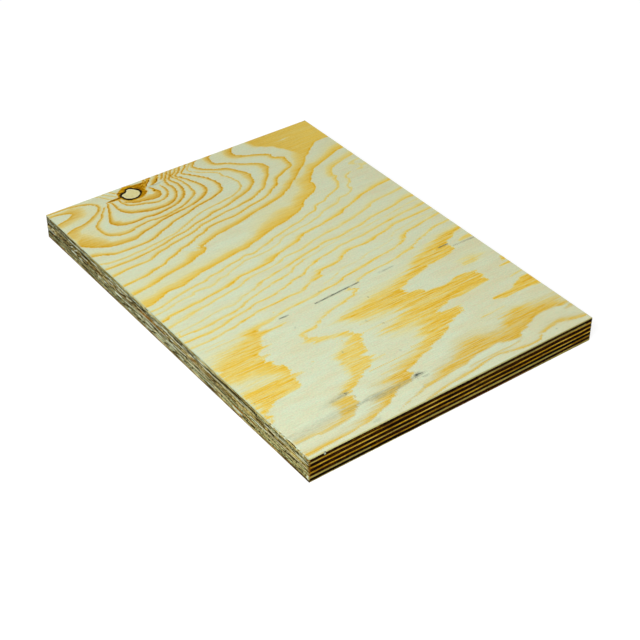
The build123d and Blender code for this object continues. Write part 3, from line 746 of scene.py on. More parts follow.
def faceGrid(loops):        # points inside the outlines, in rows along the grain
    split = faceVeneer["upperFrom"]
    reachX, reachY = halfWidth - faceVeneer["gridInset"], halfLength - faceVeneer["gridInset"]
    made = []
    for front, back, (dx, dy) in ((-reachY, split, faceVeneer["gridLower"]), (split, reachY, faceVeneer["gridUpper"])):
        rows = max(1, round((back - front) / dy))
        for row in range(rows):
            y = front + (back - front) * (row + 0.5) / rows
            x = np.arange(-reachX + (row % 2) * dx / 2, reachX, dx)
            made.append(np.column_stack([x, np.full(len(x), y)]))
    spots = np.vstack(made)
    keep = np.ones(len(spots), bool)
    for loop in loops:
        closed = closedLine(loop)
        at = near(closed, spots[:, 0], spots[:, 1], 1)
        if loop is loops[0]:
            at = at[nearOutline(spots[at, 0], spots[at, 1], 2.5)]
        for part in np.array_split(at, 1 + len(at) // 2000):
            distance = nearestOn(closed, spots[part, 0], spots[part, 1])[0]
            inside = insideShape(loop, spots[part, 0], spots[part, 1])
            keep[part] = keep[part] & (distance > faceVeneer["gridGap"]) & (inside == (loop is loops[0]))
    return spots[keep]


# rings, figure and marks, with their edges made ragged by the fibres
def paintGrain(x, y, values):
    lower, upper = faceVeneer["raggedLower"], faceVeneer["raggedKnot"]
    ragged = lower + (upper - lower) * smoothstep(-45, 60, y)
    streak = softNoise(x / 12 + 40, y / 0.85 + 200, 13) + 0.5 * softNoise(x / 5 + 40, y / 0.6 + 200, 14)
    movedX = x + ragged * streak
    movedY = y + 0.35 * softNoise(x / 7 + 30, y / 2.5 + 80, 15)
    fibre = 3.2 * ragged * softNoise(x / 26 + 40, y / 0.8 + 200, 17)
    for part in np.array_split(np.arange(len(x)), 30):        # a few at a time, to spare memory
        figure = figureValue(broadFigure, movedX[part], movedY[part], fibre[part])
        gaps = figureValue(paleGaps, movedX[part], movedY[part], fibre[part])
        values["latewood"][part] = np.maximum(ringLatewood(movedX[part], movedY[part]), figure * (1 - gaps))
        raiseTo(values["latewood"], part, brushValue(goldFibres, movedX[part], y[part]))
        values["resin"][part] = brushValue(resinMarks, movedX[part], movedY[part])
        values["stainAndShade"][part] = brushValue(stainMarks, movedX[part], y[part])
    for spotX, spotY in darkSpecks:
        speck = 0.6 * smoothstep(faceVeneer["speckWidth"], 0.2, np.hypot(x - spotX, y - spotY))
        values["stainAndShade"][:] = np.maximum(values["stainAndShade"], speck)
    middleX, middleY = faceVeneer["knotMiddle"]
    values["heart"][:] = smoothstep(*faceVeneer["heartReach"], np.hypot((x - middleX) * 0.8, y - middleY))


# dark bark in the knot hole's rim, and resin that spreads from it farthest to the right
def paintKnotRim(hole, x, y, at, distance, values):
    distance = distance + 0.55 * softNoise(x[at] / 3 + 90, y[at] / 3 + 90, 16) + 0.2 * softNoise(x[at], y[at], 18)
    bearing = np.arctan2(y[at] - hole[:, 1].mean(), x[at] - hole[:, 0].mean())
    lowerLeft = smoothstep(-0.5, 1, -np.cos(bearing - 0.5))
    thick = faceVeneer["barkWidth"] + faceVeneer["barkThicker"] * lowerLeft
    values["bark"][at] = smoothstep(thick + 0.35, thick - 0.15, distance)
    rightward = smoothstep(-0.5, 0.8, np.cos(bearing - 0.3))
    raiseTo(values["resin"], at, 0.5 * smoothstep(3.2 + 2.4 * rightward, 2.3 + rightward, distance))


# the worn outline with its painted highlight, the knot hole, and painted shade along the checks, in that order
def paintHoles(loops, x, y, values):
    for number, loop in enumerate(loops):
        closed = closedLine(loop)
        at = near(closed, x, y, 9)
        if number == 0:
            at = at[nearOutline(x[at], y[at], 2)]
        distance = np.concatenate([nearestOn(closed, x[part], y[part])[0] for part in np.array_split(at, 20)])
        if number == 0:
            # paler band along the outline: worn wood, partly painted highlight on the rounded edge
            values["rim"][at] = smoothstep(0.75, 0.2, distance)
        elif number == 1:
            paintKnotRim(loop, x, y, at, distance, values)
        else:
            # painted shade along each open check
            raiseTo(values["stainAndShade"], at, faceVeneer["checksShaded"][number - 2] * smoothstep(0.6, 0.1, distance))


def makeFaceVeneer():
    (_, _, low), (_, _, high) = [[c / mm for c in corner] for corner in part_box("face_veneer")]
    outline, *holes = plyOutlines("face_veneer")
    loops = [evenOutline(outline, faceVeneer["outlineStep"])]
    loops += [evenOutline(hole, faceVeneer["holeStep"]) for hole in holes]
    inner = faceGrid(loops)

    fixed = len(loops[0]) + len(loops[1])        # the checks come after the outline and the knot hole
    closing = [np.zeros(fixed)]
    for share, slit in zip(faceVeneer["checksClosed"], loops[2:]):
        tips = slit[[slit[:, 0].argmin(), slit[:, 0].argmax()]]
        closing.append(share * nearestOn(tips, slit[:, 0], slit[:, 1])[0])
    closing = np.concatenate(closing)
    isSlit = np.arange(len(closing)) >= fixed

    def pushIn(x, y, outX, outY, level):
        worn = 0.05 + 0.05 * softNoise(x / 1.3, y / 1.3, 11) + (faceVeneer["roundedEdge"] - 0.02 if level == 1 else 0)
        return np.where(isSlit, -closing, worn)

    relief = high - 0.02 - 0.015 * softNoise(inner[:, 0] / 9, inner[:, 1] / 0.9, 12)
    piece, points = buildPly("faceVeneer", loops, low, high, [0, 0.45, 0.82, 1], pushIn, inner, relief)
    values = {name: np.zeros(len(points)) for name in ("latewood", "resin", "bark", "stainAndShade", "heart", "rim")}
    paintGrain(points[:, 0], points[:, 1], values)
    paintHoles(loops, points[:, 0], points[:, 1], values)
    for name, value in values.items():
        setValues(piece, name, value)
    print("face veneer", len(piece.data.polygons), "faces")
    return piece


def finishFaceVeneer(piece):
    f = Finish("facePine", faceVeneer["roughness"], faceVeneer["gloss"])
    late, heart = f.painted("latewood"), f.painted("heart")
    place = f.place()
    combed = f.between(place["Y"], 0.05, -0.04, 0.35, 1.0)        # the front half was cut flatter along the rings
    streak = f.noise((24, 0.65, 40), 3, 0.6)
    fibre = f.noise((6, 0.26, 40), 2, shift=5)
    strokes = f.math("ADD", f.between(streak, 0.38, 0.6, -0.5, 0.3), f.between(fibre, 0.35, 0.65, -0.24, 0.22))
    late = f.math("MULTIPLY", late, f.math("ADD", 1.0, f.math("MULTIPLY", strokes, combed)), clamp=True)
    golden = f.ramp(late, faceVeneer["latewood"])
    golden = f.mix(f.math("MULTIPLY", heart, f.math("POWER", late, 1.6)), golden, linear(*faceVeneer["heartwood"]))
    nearFront = f.between(place["Y"], -0.105, -0.13)
    golden = f.mix(nearFront, golden, linear(*faceVeneer["dullFront"]), "MULTIPLY")
    warm = f.math("ADD", f.between(f.noise((34, 7, 40), 3, 0.6, shift=9), 0.4, 0.66, 0.0, 0.7),
                  f.between(place["X"], 0.02, 0.11, 0.0, 0.4))
    pale = f.mix(warm, linear(*faceVeneer["pale"]), linear(*faceVeneer["paleWarm"]))
    pale = f.mix(f.math("MULTIPLY", heart, 0.3), pale, linear(*faceVeneer["paleHeart"]))
    mottle = f.noise((1.3, 1.1, 40), 2, 0.7, shift=44)
    for (low, high), speck in zip(((0.52, 0.66), (0.48, 0.34)), faceVeneer["mottle"]):
        pale = f.mix(f.between(mottle, low, high, 0.0, 0.34), pale, linear(*speck))
    colour = f.mix(f.between(late, 0.0, 0.22), pale, golden)
    lines = f.between(f.noise((8, 0.3, 40), 2, 0.6, shift=14), 0.58, 0.74)
    colour = f.mix(f.math("MULTIPLY", lines, 0.14), colour, linear(*faceVeneer["fineLines"]), "MULTIPLY")
    grain = f.math("ADD", f.between(f.noise((1.2, 0.9, 40), 2, 0.6, shift=25), 0.35, 0.65, -0.055, 0.055),
                   f.between(f.noise((11, 0.35, 40), 2, shift=21), 0.35, 0.65, 0.965, 1.035))
    colour = f.mix(1.0, colour, f.grey(grain), "MULTIPLY")
    smear = f.between(f.noise((3.2, 0.42, 40), 3, 0.65, shift=31), 0.38, 0.62, 0.25, 1.5)
    # stains and specks, with the painted shade along the checks
    stainAndShade = f.math("MULTIPLY", f.painted("stainAndShade"), smear, clamp=True)
    colour = f.mix(stainAndShade, colour, linear(*faceVeneer["stainAndShade"]))
    clot = f.between(f.noise((4, 0.9, 40), 3, 0.6, shift=37), 0.36, 0.64, -0.3, 0.3)
    resin = f.ramp(f.math("ADD", f.painted("resin"), clot), faceVeneer["resin"])
    colour = f.mix(f.between(f.painted("resin"), 0.02, 0.4), colour, resin)
    colour = f.mix(f.painted("bark"), colour, linear(*faceVeneer["bark"]))
    # paler band along the edges: worn wood, partly painted highlight on the rounded edge
    colour = f.mix(f.math("MULTIPLY", f.painted("rim"), 0.4), colour, linear(*faceVeneer["wornEdgeAndHighlight"]))
    onLeft, onFront = f.between(place["X"], -0.1095, -0.10975), f.between(place["Y"], -0.1523, -0.15275)
    colour = f.mix(onLeft, colour, linear(*faceVeneer["leftSide"]), "MULTIPLY")
    # painted shade on the front edge, deeper towards its right end
    frontSideShade = f.mix(f.between(place["X"], -0.09, 0.09), *[linear(*side) for side in faceVeneer["frontSideShade"]])
    colour = f.mix(onFront, colour, frontSideShade, "MULTIPLY")
    height = f.math("ADD", f.math("MULTIPLY", late, 0.5), f.math("ADD", fibre, lines))
    rough = f.between(late, 0.0, 1.0, faceVeneer["roughness"] + 0.06, faceVeneer["roughness"] - 0.08)
    f.wear(piece, colour, height, 0.3, 0.05, rough)


# cream putty pressed into the knot hole

knotFiller = {
    "step": 0.4,
    "cream": (226, 219, 158),
    "light": (240, 236, 190),
    "dark": (206, 190, 122),
    "dirtyRim": (40, 26, 8),
    "gridStep": (0.42, 0.38),
    "sunk": 0.1,        # how much lower its middle is than its rim
    "roughness": 0.65,
    "gloss": 0.1,
}


def makeKnotFiller():
    (_, _, low), (_, _, high) = [[c / mm for c in corner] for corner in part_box("knot_filler")]
    rim = evenOutline(plyOutlines("knot_filler")[0], knotFiller["step"])
    centre = rim.mean(0)
    radius = np.hypot(*(rim - centre).T).max()
    dx, dy = knotFiller["gridStep"]
    spots = np.array([(centre[0] + dx * i + dx / 2 * (j % 2), centre[1] + dy * j)
                      for i in range(-20, 21) for j in range(-20, 21)])
    distance = nearestOn(closedLine(rim), spots[:, 0], spots[:, 1])[0]
    keep = insideShape(rim, spots[:, 0], spots[:, 1]) & (distance > 0.3)
    inner, distance = spots[keep], distance[keep]
    height = high - 0.03 - knotFiller["sunk"] * smoothstep(0, radius, distance)
    height = height + 0.02 * softNoise(inner[:, 0] / 1.1, inner[:, 1] / 1.1, 21)

    def pushIn(x, y, outX, outY, level):
        return np.full(len(x), 0.02 + 0.1 * (level == 1))

    piece, points = buildPly("knotFiller", [rim], low, high, [0, 0.9, 1], pushIn, inner, height)
    x, y = points[:, 0], points[:, 1]
    edge = nearestOn(closedLine(rim), x, y)[0] + 0.25 * softNoise(x / 1.2, y / 1.2, 22)
    setValues(piece, "dirtyRim", smoothstep(0.32, 0.1, edge))
    setValues(piece, "lightRim", smoothstep(1.7, 0.6, edge) * smoothstep(-0.7, 0.7, softNoise(x / 2.4, y / 2.4, 23)))
    print("knot filler done")
    return piece


def finishKnotFiller(piece):
    f = Finish("creamPutty", knotFiller["roughness"], knotFiller["gloss"])
    cloud = f.noise((2.6, 2.6, 2.6), 3)
    grit = f.noise((0.5, 0.5, 0.5), 2, shift=6)
    colour = f.mix(f.between(cloud, 0.4, 0.7, 0, 0.5), linear(*knotFiller["cream"]), linear(*knotFiller["dark"]))
    colour = f.mix(f.between(grit, 0.6, 0.75, 0, 0.35), colour, linear(*knotFiller["dark"]))
    colour = f.mix(f.math("MULTIPLY", f.painted("lightRim"), 0.8), colour, linear(*knotFiller["light"]))
    colour = f.mix(f.painted("dirtyRim"), colour, linear(*knotFiller["dirtyRim"]))
    f.wear(piece, colour, f.math("ADD", cloud, grit), 0.4, 0.06)


# the inner plies: grain along the panel's width in the core plies, along its length in the crossbands

corePly = {
    "side": [(0.0, (126, 88, 6)), (0.35, (170, 128, 8)), (0.7, (206, 162, 20)), (1.0, (226, 192, 80))],
    "tilt": 6.0,
    "end": [(0.0, (30, 24, 6)), (0.25, (82, 76, 42)), (0.5, (146, 146, 106)), (0.75, (176, 180, 144)),
            (1.0, (210, 218, 192))],
    "glue": 0.95,
    "roughness": 0.75,
    "gloss": 0.05,
}
crossband = {
    "side": [(0.0, (34, 25, 6)), (0.25, (92, 80, 40)), (0.5, (150, 143, 103)), (0.75, (176, 173, 137)),
             (1.0, (210, 212, 182))],
    "tilt": 3.0,
    "end": [(0.0, (2, 0, 0)), (0.4, (18, 3, 0)), (0.7, (37, 9, 0)), (1.0, (68, 36, 6))],
    "glue": 0.3,
    "roughness": 0.85,
    "gloss": 0.02,
}
plyEdge = {
    "step": 0.7,            # spacing of the points round each ply
    "levels": [0, 0.1, 0.22, 0.36, 0.5, 0.64, 0.78, 0.9, 1],
    "endRough": 0.09,       # how far end grain is torn, in mm
    "sideRough": 0.045,
    "glueGroove": 0.05,
    "deepest": 0.22,
    "gapDepth": 1.3,        # where a strip of veneer is missing
    "fadeNearFaces": 0.6,   # the lines between plies keep straight this near the panel's two faces
    "strokeDepth": 0.12,    # how deep a dark stroke is pressed in
    "strokeSpread": 1.9,
    "darkGamma": 1.9,       # makes weak dark strokes stronger
    "leftReach": 0.8,       # how near a point must be to the left edge to be painted as part of it
    "frontReach": 0.7,      # and to the front edge
    "dark": (46, 36, 4),
    "black": (4, 1, 0),
    "amber": (130, 82, 2),
    "olive": (170, 161, 84),
    "light": (208, 216, 188),
    "glueLine": (34, 12, 0),
    # painted shade in the gaps of the left edge
    "hollowShade": (30, 20, 4),
    "frontTint": (254, 249, 222),      # multiplied on the left edge towards the front
    "backTint": (252, 246, 222),       # and towards the back
}

# each ply's own tone where the left edge shows it, and how much darker it gets there towards the back
leftTone = {
    "crossband_1": ((244, 234, 200), 0.1),
    "core_ply_1": ((222, 229, 228), 0.3),
    "crossband_2": ((255, 251, 244), 1.0),
    "core_ply_2": ((252, 228, 174), 1.0),
    "crossband_3": ((255, 243, 228), 1.1),
    "core_ply_3": ((244, 248, 232), 0.9),
    "crossband_4": ((252, 248, 234), 0.8),
    "core_ply_4": ((244, 250, 234), 0.75),
    "crossband_5": ((255, 243, 216), 0.4),
}

# plies that are darker than the rest where the front edge shows them
frontTone = {"core_ply_1": (231, 228, 226), "core_ply_4": (234, 230, 222)}
plain = (255, 255, 255)

# gaps that the part has in its left edge: y from and to, height in the ply from and to
hollows = {
    "core_ply_2": [(-118, -111.3, 0.22, 0.78), (-108.8, -106.2, 0.22, 0.78), (-104.1, -101.7, 0.22, 0.78),
                   (146, 152, 0.18, 0.82)],
    "crossband_4": [(146.5, 151.9, 0.18, 0.82)],
}

# strokes on the left edge: strength, then y, height above the underside and half width
leftStrokes = {
    "dark": [
        (0.6, [(133.4, 16.6, .25), (128.9, 16.9, .25)]), (0.85, [(126, 16.2, .3), (119, 15.9, .4), (112, 16.2, .3)]),
        (0.7, [(102, 17, .35), (96.2, 17, .35)]), (0.45, [(153, 14.6, .2), (140, 14.6, .2)]),
        (0.8, [(153, 10.6, .35), (147, 11.5, .4), (142, 12, .25)]), (1, [(153, 5.5, .6), (147, 5.4, .5)]),
        (0.8, [(144, 5.2, .4), (141.6, 5.4, .4)]), (0.7, [(138.6, 5.2, .3), (136, 5.8, .3)]),
        (0.6, [(142.5, 2.5, .4), (136, 2.3, .3)]), (0.65, [(130.8, 9.4, .3), (124.9, 12, .3)]),
        (0.6, [(136, 9.8, .25), (133, 11.2, .25)]), (0.8, [(122.6, 9.7, .3), (115.5, 12.6, .35)]),
        (0.75, [(115.5, 12.6, .3), (112.5, 12.7, .3)]), (0.6, [(113.8, 8.4, .25), (109, 10.4, .3)]),
        (0.8, [(99.5, 12.2, .3), (94.3, 12.4, .3)]), (0.6, [(108, 9.2, .2), (97.5, 9, .2)]),
        (0.6, [(104, 7.3, .4), (96.9, 7.5, .3)]), (0.85, [(105.7, 2.8, .3), (98, 3.7, .3), (91, 4.3, .3)]),
        (0.5, [(122.3, 3.8, .25), (112.2, 4.3, .25)]), (0.85, [(91, 15.1, .35), (87.7, 15.1, .25)]),
        (0.6, [(87.7, 15.1, .17), (71.4, 15.1, .15)]), (0.6, [(55, 14.9, .15), (35.5, 15, .17)]),
        (0.75, [(69.1, 13, .25), (67.2, 13, .25)]), (0.65, [(73.7, 11.8, .3), (71.4, 11.8, .3)]),
        (0.35, [(79, 12.9, .4), (75.3, 12.9, .4)]), (0.65, [(85, 9.8, .2), (82.8, 9.8, .2)]),
        (0.7, [(68, 9.8, .25), (66.8, 9.9, .25)]), (0.7, [(59.7, 10.2, .25), (58, 10.2, .25)]),
        (0.85, [(54.4, 9.5, .3), (47, 11.5, .35)]), (0.75, [(40, 10.5, .35), (38, 11.8, .35)]),
        (0.7, [(36, 10.5, .3), (34.2, 11.8, .3)]), (0.6, [(33, 10.5, .45), (29.5, 10.6, .5)]),
        (0.75, [(44, 8.2, .35), (39.8, 8.2, .35)]), (0.6, [(63.6, 7.9, .25), (62.3, 7.9, .25)]),
        (0.55, [(88.4, 5.4, .25), (84.5, 5.5, .25)]), (0.65, [(75.3, 4.6, .25), (69.8, 4.7, .25)]),
        (0.6, [(59, 4.6, .25), (55.1, 4.7, .25)]), (0.9, [(52.8, 2.7, .3), (49, 3.9, .35), (44.7, 4.6, .3)]),
        (0.5, [(45.6, 2, .3), (44, 2.1, .3)]), (0.5, [(42, 2, .3), (40, 2.1, .3)]),
        (0.75, [(33.9, 2.4, .3), (29.3, 3.6, .35)]), (0.8, [(22.5, 17, .35), (19.2, 17.1, .35)]),
        (0.85, [(26.4, 14, .4), (22.5, 14.3, .4)]), (0.65, [(18.2, 13.9, .25), (10.7, 14, .25)]),
        (0.55, [(6.8, 15.1, .14), (-6.9, 15.1, .14)]), (0.75, [(-8.2, 15, .3), (-20, 14.1, .35)]),
        (0.9, [(-24.5, 15.1, .35), (-33, 14.1, .4)]), (0.65, [(8.1, 12, .25), (4.2, 12.1, .25)]),
        (0.85, [(-3.3, 11.6, .3), (-4.3, 11.9, .3)]), (0.85, [(-5.3, 9, .4), (-7.9, 9.3, .45)]),
        (0.7, [(-9, 11.7, .25), (-10.4, 11.8, .25)]), (0.75, [(-16, 11.7, .2), (-20.6, 11.7, .2)]),
        (0.75, [(-23.9, 11.7, .25), (-25.8, 11.7, .25)]), (0.75, [(-10, 7.4, .2), (-22, 7.4, .2)]),
        (0.75, [(12.4, 7.5, .3), (7.8, 7.1, .3)]), (0.7, [(29, 7.1, .4), (27.7, 7.1, .4)]),
        (0.8, [(27, 3.8, .25), (24, 4.8, .25)]), (0.8, [(16, 2.5, .3), (10.4, 4.5, .3)]),
        (0.8, [(0, 3.3, .3), (-5.3, 4.5, .3)]), (0.8, [(-9.2, 2.5, .25), (-16.7, 4.6, .3)]),
        (0.7, [(-21.9, 2.9, .25), (-26.5, 4.5, .25)]),
        (0.95, [(-47, 13.8, .3), (-58, 14.1, .5), (-67, 14.8, .5), (-82, 14.9, .45), (-98, 14.7, .35)]),
        (0.65, [(-36.9, 11.6, .25), (-39.5, 11.6, .25)]), (0.85, [(-55.5, 10, .3), (-57.5, 10, .3)]),
        (0.75, [(-60.7, 11.8, .25), (-64.3, 11.8, .25)]), (0.65, [(-63.3, 9.7, .25), (-66.9, 9.7, .25)]),
        (0.75, [(-77.7, 9.7, .25), (-79.7, 9.7, .25)]), (0.8, [(-35, 7.6, .3), (-38, 7.5, .3)]),
        (0.65, [(-38.9, 6.8, .2), (-44, 6.5, .2)]), (0.75, [(-51.3, 7.9, .2), (-62.4, 7.2, .2), (-74, 6.9, .17)]),
        (0.55, [(-86.5, 3.6, .4), (-89, 3.6, .4)]), (0.45, [(-37.6, 0.9, .2), (-55.8, 0.9, .2)]),
        (0.85, [(-111.1, 14.1, .4), (-113.9, 14, .45)]), (0.6, [(-120.3, 14.9, .25), (-129.7, 14.9, .25)]),
        (0.65, [(-138.3, 14.4, .25), (-150.6, 14.2, .25)]), (0.85, [(-101, 11, .5), (-103.2, 11, .5)]),
        (0.8, [(-106, 10.9, .5), (-108.9, 10.9, .5)]), (0.75, [(-112.7, 10.8, .6), (-118.4, 10.8, .6)]),
        (0.6, [(-111, 7.3, .25), (-118.4, 7.4, .25)]),
        (0.85, [(-128.2, 6.4, .35), (-135, 7.2, .35), (-143.6, 8.1, .3)]),
        (0.65, [(-112.7, 4.2, .3), (-114.6, 4.2, .3)]), (0.55, [(-116.8, 3.4, .25), (-118.4, 3.4, .25)]),
        (0.7, [(-95, 3.3, .3), (-99, 3.1, .3)]), (0.65, [(-134.5, 4.5, .3), (-136.4, 4.5, .3)]),
        (0.7, [(-144, 4.3, .35), (-146.8, 4.3, .35)]), (0.7, [(-103.5, 1.3, .2), (-114, 1.3, .2)]),
        (0.6, [(-121.8, 1.2, .2), (-131.3, 1.2, .2)]), (0.85, [(-134.5, 1.1, .25), (-150.6, 1.1, .3)]),
        (0.7, [(-151.8, 12, .5), (-153, 12.2, .5)]), (0.8, [(-150, .9, .4), (-153, .9, .5)]),
        (0.12, [(150, 16.1, .5), (100, 16.2, .5)]), (0.12, [(146, 13.6, .6), (102, 13.6, .6)]),
        (0.13, [(-22, 13.7, .4), (-80, 13.8, .4)]), (0.1, [(-18, 17, .2), (-80, 17, .2)]),
    ],
    "olive": [
        (0.4, [(96, 16.1, .42), (44, 16, .42)]), (0.3, [(42, 15.8, .36), (-20, 15.8, .3)]),
        (0.2, [(94, 13.9, .4), (46, 13.8, .4)]), (0.16, [(-22, 15.8, .3), (-78, 15.8, .3)]),
    ],
    "amber": [
        (0.8, [(146.8, 5.5, .5), (144.2, 5.5, .5)]), (0.65, [(134.7, 1.9, .35), (130.2, 1.9, .35)]),
        (0.6, [(98, 10, .3), (95, 10, .3)]), (0.6, [(89, 10.4, .4), (80, 10.6, .4)]),
        (1, [(29, 10.9, .7), (20, 10.9, .8), (11.4, 10.8, .6)]), (0.5, [(10.7, 10.5, .5), (-0.4, 10.5, .5)]),
        (0.55, [(26.4, 1.7, .35), (23.8, 1.7, .35)]), (0.5, [(8, 1.4, .3), (0.3, 1.4, .3)]),
        (0.8, [(-30.4, 10.9, .5), (-35.5, 11.1, .5)]), (0.85, [(-49.3, 11.5, .25), (-54.2, 11.4, .25)]),
        (1, [(-76.7, 5.4, .35), (-82, 5.3, .45), (-87.2, 5.4, .35)]), (0.75, [(-87.8, 5.6, .3), (-104.8, 5.9, .25)]),
        (0.9, [(-53.9, 2.8, .3), (-59, 3.4, .3), (-64.3, 4.6, .3)]), (0.85, [(-82, 1.5, .35), (-85.5, 1.5, .35)]),
        (0.4, [(-132.3, 11.7, .25), (-144.3, 11.7, .25)]), (0.75, [(-114.6, 1.4, .3), (-120.3, 1.4, .3)]),
        (0.8, [(-131.3, 1.4, .35), (-134.5, 1.4, .35)]), (0.9, [(-150.8, 14.9, .5), (-152.6, 16, .7)]),
        (0.7, [(-152.4, 7.2, .35), (-152.6, 6.4, .35)]), (0.7, [(-152.2, 13.2, .3), (-153, 13.4, .4)]),
    ],
    "light": [
        (0.75, [(121.7, 14.4, .3), (107.3, 14.4, .3)]), (0.45, [(151.7, 13.3, .3), (143.9, 13.3, .3)]),
        (0.45, [(153, 7.4, .35), (142, 7.4, .35)]), (0.5, [(147, 10.3, .25), (142.6, 10.6, .25)]),
        (0.7, [(119.7, 10, .25), (116.8, 11.3, .25)]), (0.7, [(114.8, 9.7, .3), (111, 11.7, .3)]),
        (0.65, [(118.7, 7.3, .35), (112.9, 7.3, .35)]), (0.65, [(108, 6.9, .4), (104.7, 6.9, .4)]),
        (0.6, [(104.7, 10.6, .3), (97.5, 10.9, .3)]), (0.75, [(91, 14.1, .25), (83.5, 14.1, .3)]),
        (0.6, [(71.4, 13.9, .3), (63.6, 13.9, .3)]), (0.7, [(59, 14.1, .25), (45.3, 14.1, .25)]),
        (0.6, [(69.5, 11.1, .35), (63.6, 11.2, .35)]), (0.65, [(58.4, 11.1, .25), (50.5, 11.1, .25)]),
        (0.65, [(46, 10.8, .3), (44, 10.9, .3)]), (0.65, [(42.4, 11.4, .3), (40.4, 11.5, .3)]),
        (0.8, [(82.8, 6.9, .4), (79.9, 6.9, .4)]), (0.75, [(75.3, 7.2, .4), (72.7, 7.2, .4)]),
        (0.85, [(60.6, 6.9, .5), (53.8, 6.9, .5)]), (0.65, [(48.6, 6.9, .35), (43, 6.9, .35)]),
        (0.65, [(32.3, 5.8, .4), (29.3, 5.8, .4)]), (0.65, [(44.7, 3.5, .35), (42, 3.7, .35)]),
        (0.75, [(12, 12.5, .3), (4.2, 12.5, .3)]), (0.55, [(2.9, 14.1, .35), (-3.6, 14.1, .35)]),
        (0.75, [(-16, 12.8, .25), (-21.9, 12.8, .25)]), (0.85, [(-29, 12.7, .25), (-34, 12.6, .25)]),
        (0.85, [(-7.5, 10.4, .35), (-9.8, 10.5, .35)]), (0.65, [(-1.3, 10.4, .3), (-3, 10.4, .3)]),
        (0.75, [(-10, 8.8, .18), (-24.5, 8.8, .18)]), (0.55, [(29, 8.9, .2), (0.3, 8.9, .2)]),
        (0.5, [(23, 6.4, .5), (15.3, 6.4, .5)]), (0.55, [(8.8, 5.1, .3), (4.2, 5.1, .3)]),
        (0.55, [(-2, 6.4, .5), (-11.8, 6.4, .5)]), (0.55, [(22.5, 3.3, .4), (16, 3.3, .4)]),
        (0.55, [(-16.7, 3.5, .35), (-21.6, 3.5, .35)]), (0.85, [(-38.9, 14.7, .3), (-44.7, 14.6, .3)]),
        (0.5, [(-51, 12.8, .25), (-70, 12.7, .22), (-95, 12.8, .25)]), (0.65, [(-45.4, 12.8, .25), (-51.3, 12.8, .25)]),
        (0.7, [(-76.4, 3.6, .45), (-86.5, 3.6, .45)]), (0.5, [(-48.7, 4, .35), (-55.8, 4, .35)]),
        (0.55, [(-110, 12.9, .28), (-129.7, 12.9, .25)]), (0.6, [(-140.5, 12.9, .25), (-151.8, 12.9, .25)]),
        (0.7, [(-95, 8.6, .3), (-111.4, 8.5, .3)]), (0.45, [(-112, 9.2, .2), (-150, 9.2, .2)]),
        (1, [(-151.5, 4.4, .35), (-151.2, 3, .4), (-151.4, 2, .35)]),
        (0.9, [(-116.4, 17.2, .4), (-117.6, 16.9, .5)]), (0.8, [(-123.2, 16.8, .3), (-123.4, 16, .3)]),
        (0.7, [(-125.4, 16.9, .25), (-125.6, 16.2, .25)]), (0.95, [(-129.3, 17, .5), (-129.7, 16.4, .45)]),
        (0.7, [(-141.2, 17, .3), (-141.4, 16.3, .25)]), (0.7, [(-143.6, 17, .25), (-143.7, 16.3, .25)]),
        (0.85, [(-146.9, 17.1, .35), (-147, 15.9, .3)]), (0.6, [(-120.4, 17.2, .3), (-121, 17, .3)]),
        (0.6, [(-42, 17.1, .3), (-43.5, 16.8, .3)]), (0.5, [(48, 17.1, .3), (47, 16.9, .3)]),
    ],
}

# strokes on the front edge, with x in place of y
frontStrokes = {
    "dark": [(0.5, [(-110, 15, .2), (-90, 15.2, .2), (-36, 15.2, .2)]), (0.4, [(-60, 9.7, .2), (-36, 9.6, .2)]),
             (0.3, [(14, 9.6, .4), (36, 9.7, .4)])],
    "black": [(1, [(36, 5.4, .4), (60, 5.6, .6), (110, 5.9, .7)]), (0.8, [(-108, 1.9, .45), (-20, 1.8, .45)]),
              (0.7, [(-104, 2.5, .15), (-60, 2.6, .18), (-30, 2.75, .24), (24, 2.75, .24), (60, 3, .22),
                     (84, 3.3, .18)])],
    "amber": [(0.5, [(-80, 16.1, .3), (-60, 16.2, .3)]), (0.9, [(0, .2, .3), (20, .3, .4), (60, .4, .4)]),
              (0.6, [(-109.6, 17.2, .5), (-109.6, 4, .5)])],
    "olive": [(0.6, [(-110, 3.5, .5), (-88, 3.5, .5), (-66, 3.5, .4)]), (0.4, [(-62, 7, .25), (-38, 7.1, .3)]),
              (0.5, [(-104, 14.4, .4), (-110, 14.4, .4)]), (0.5, [(16, 14.6, .4), (60, 14.7, .4), (104, 15.2, .4)]),
              (0.75, [(-30, 3.9, .4), (20, 3.9, .4), (60, 4.1, .5), (84, 4.3, .4)])],
    "light": [(1, [(-99.6, 17.6, .3), (-99, 16.8, .3), (-98.6, 15.8, .2)])],
}


# the upper plies sag a little along the front edge, and all of them rise towards the right front corner
def plyShift(x, y, z):
    front = smoothstep(-60, -150, y)
    rightRise = 0.3 + 0.8 * np.clip(1 - z / 9, 0, 1)
    leftRise = 0.35 * np.clip(1 - z / 7, 0, 1) - 0.2
    sag = (0.1 + 0.3 * smoothstep(-90, -20, x)) * smoothstep(3, 13, z) * smoothstep(18.4, 16, z)
    lift = smoothstep(10, 112, x) * front * rightRise + smoothstep(-20, -112, x) * front * leftRise
    lift = lift - sag * smoothstep(-110, -152, y)
    fade = plyEdge["fadeNearFaces"]
    return lift * np.clip(z / fade, 0, 1) * np.clip((panelTop - z) / fade, 0, 1)


def strokeValue(strokes, along, z):
    return brushValue(strokes, along, z, 1, plyEdge["strokeSpread"])


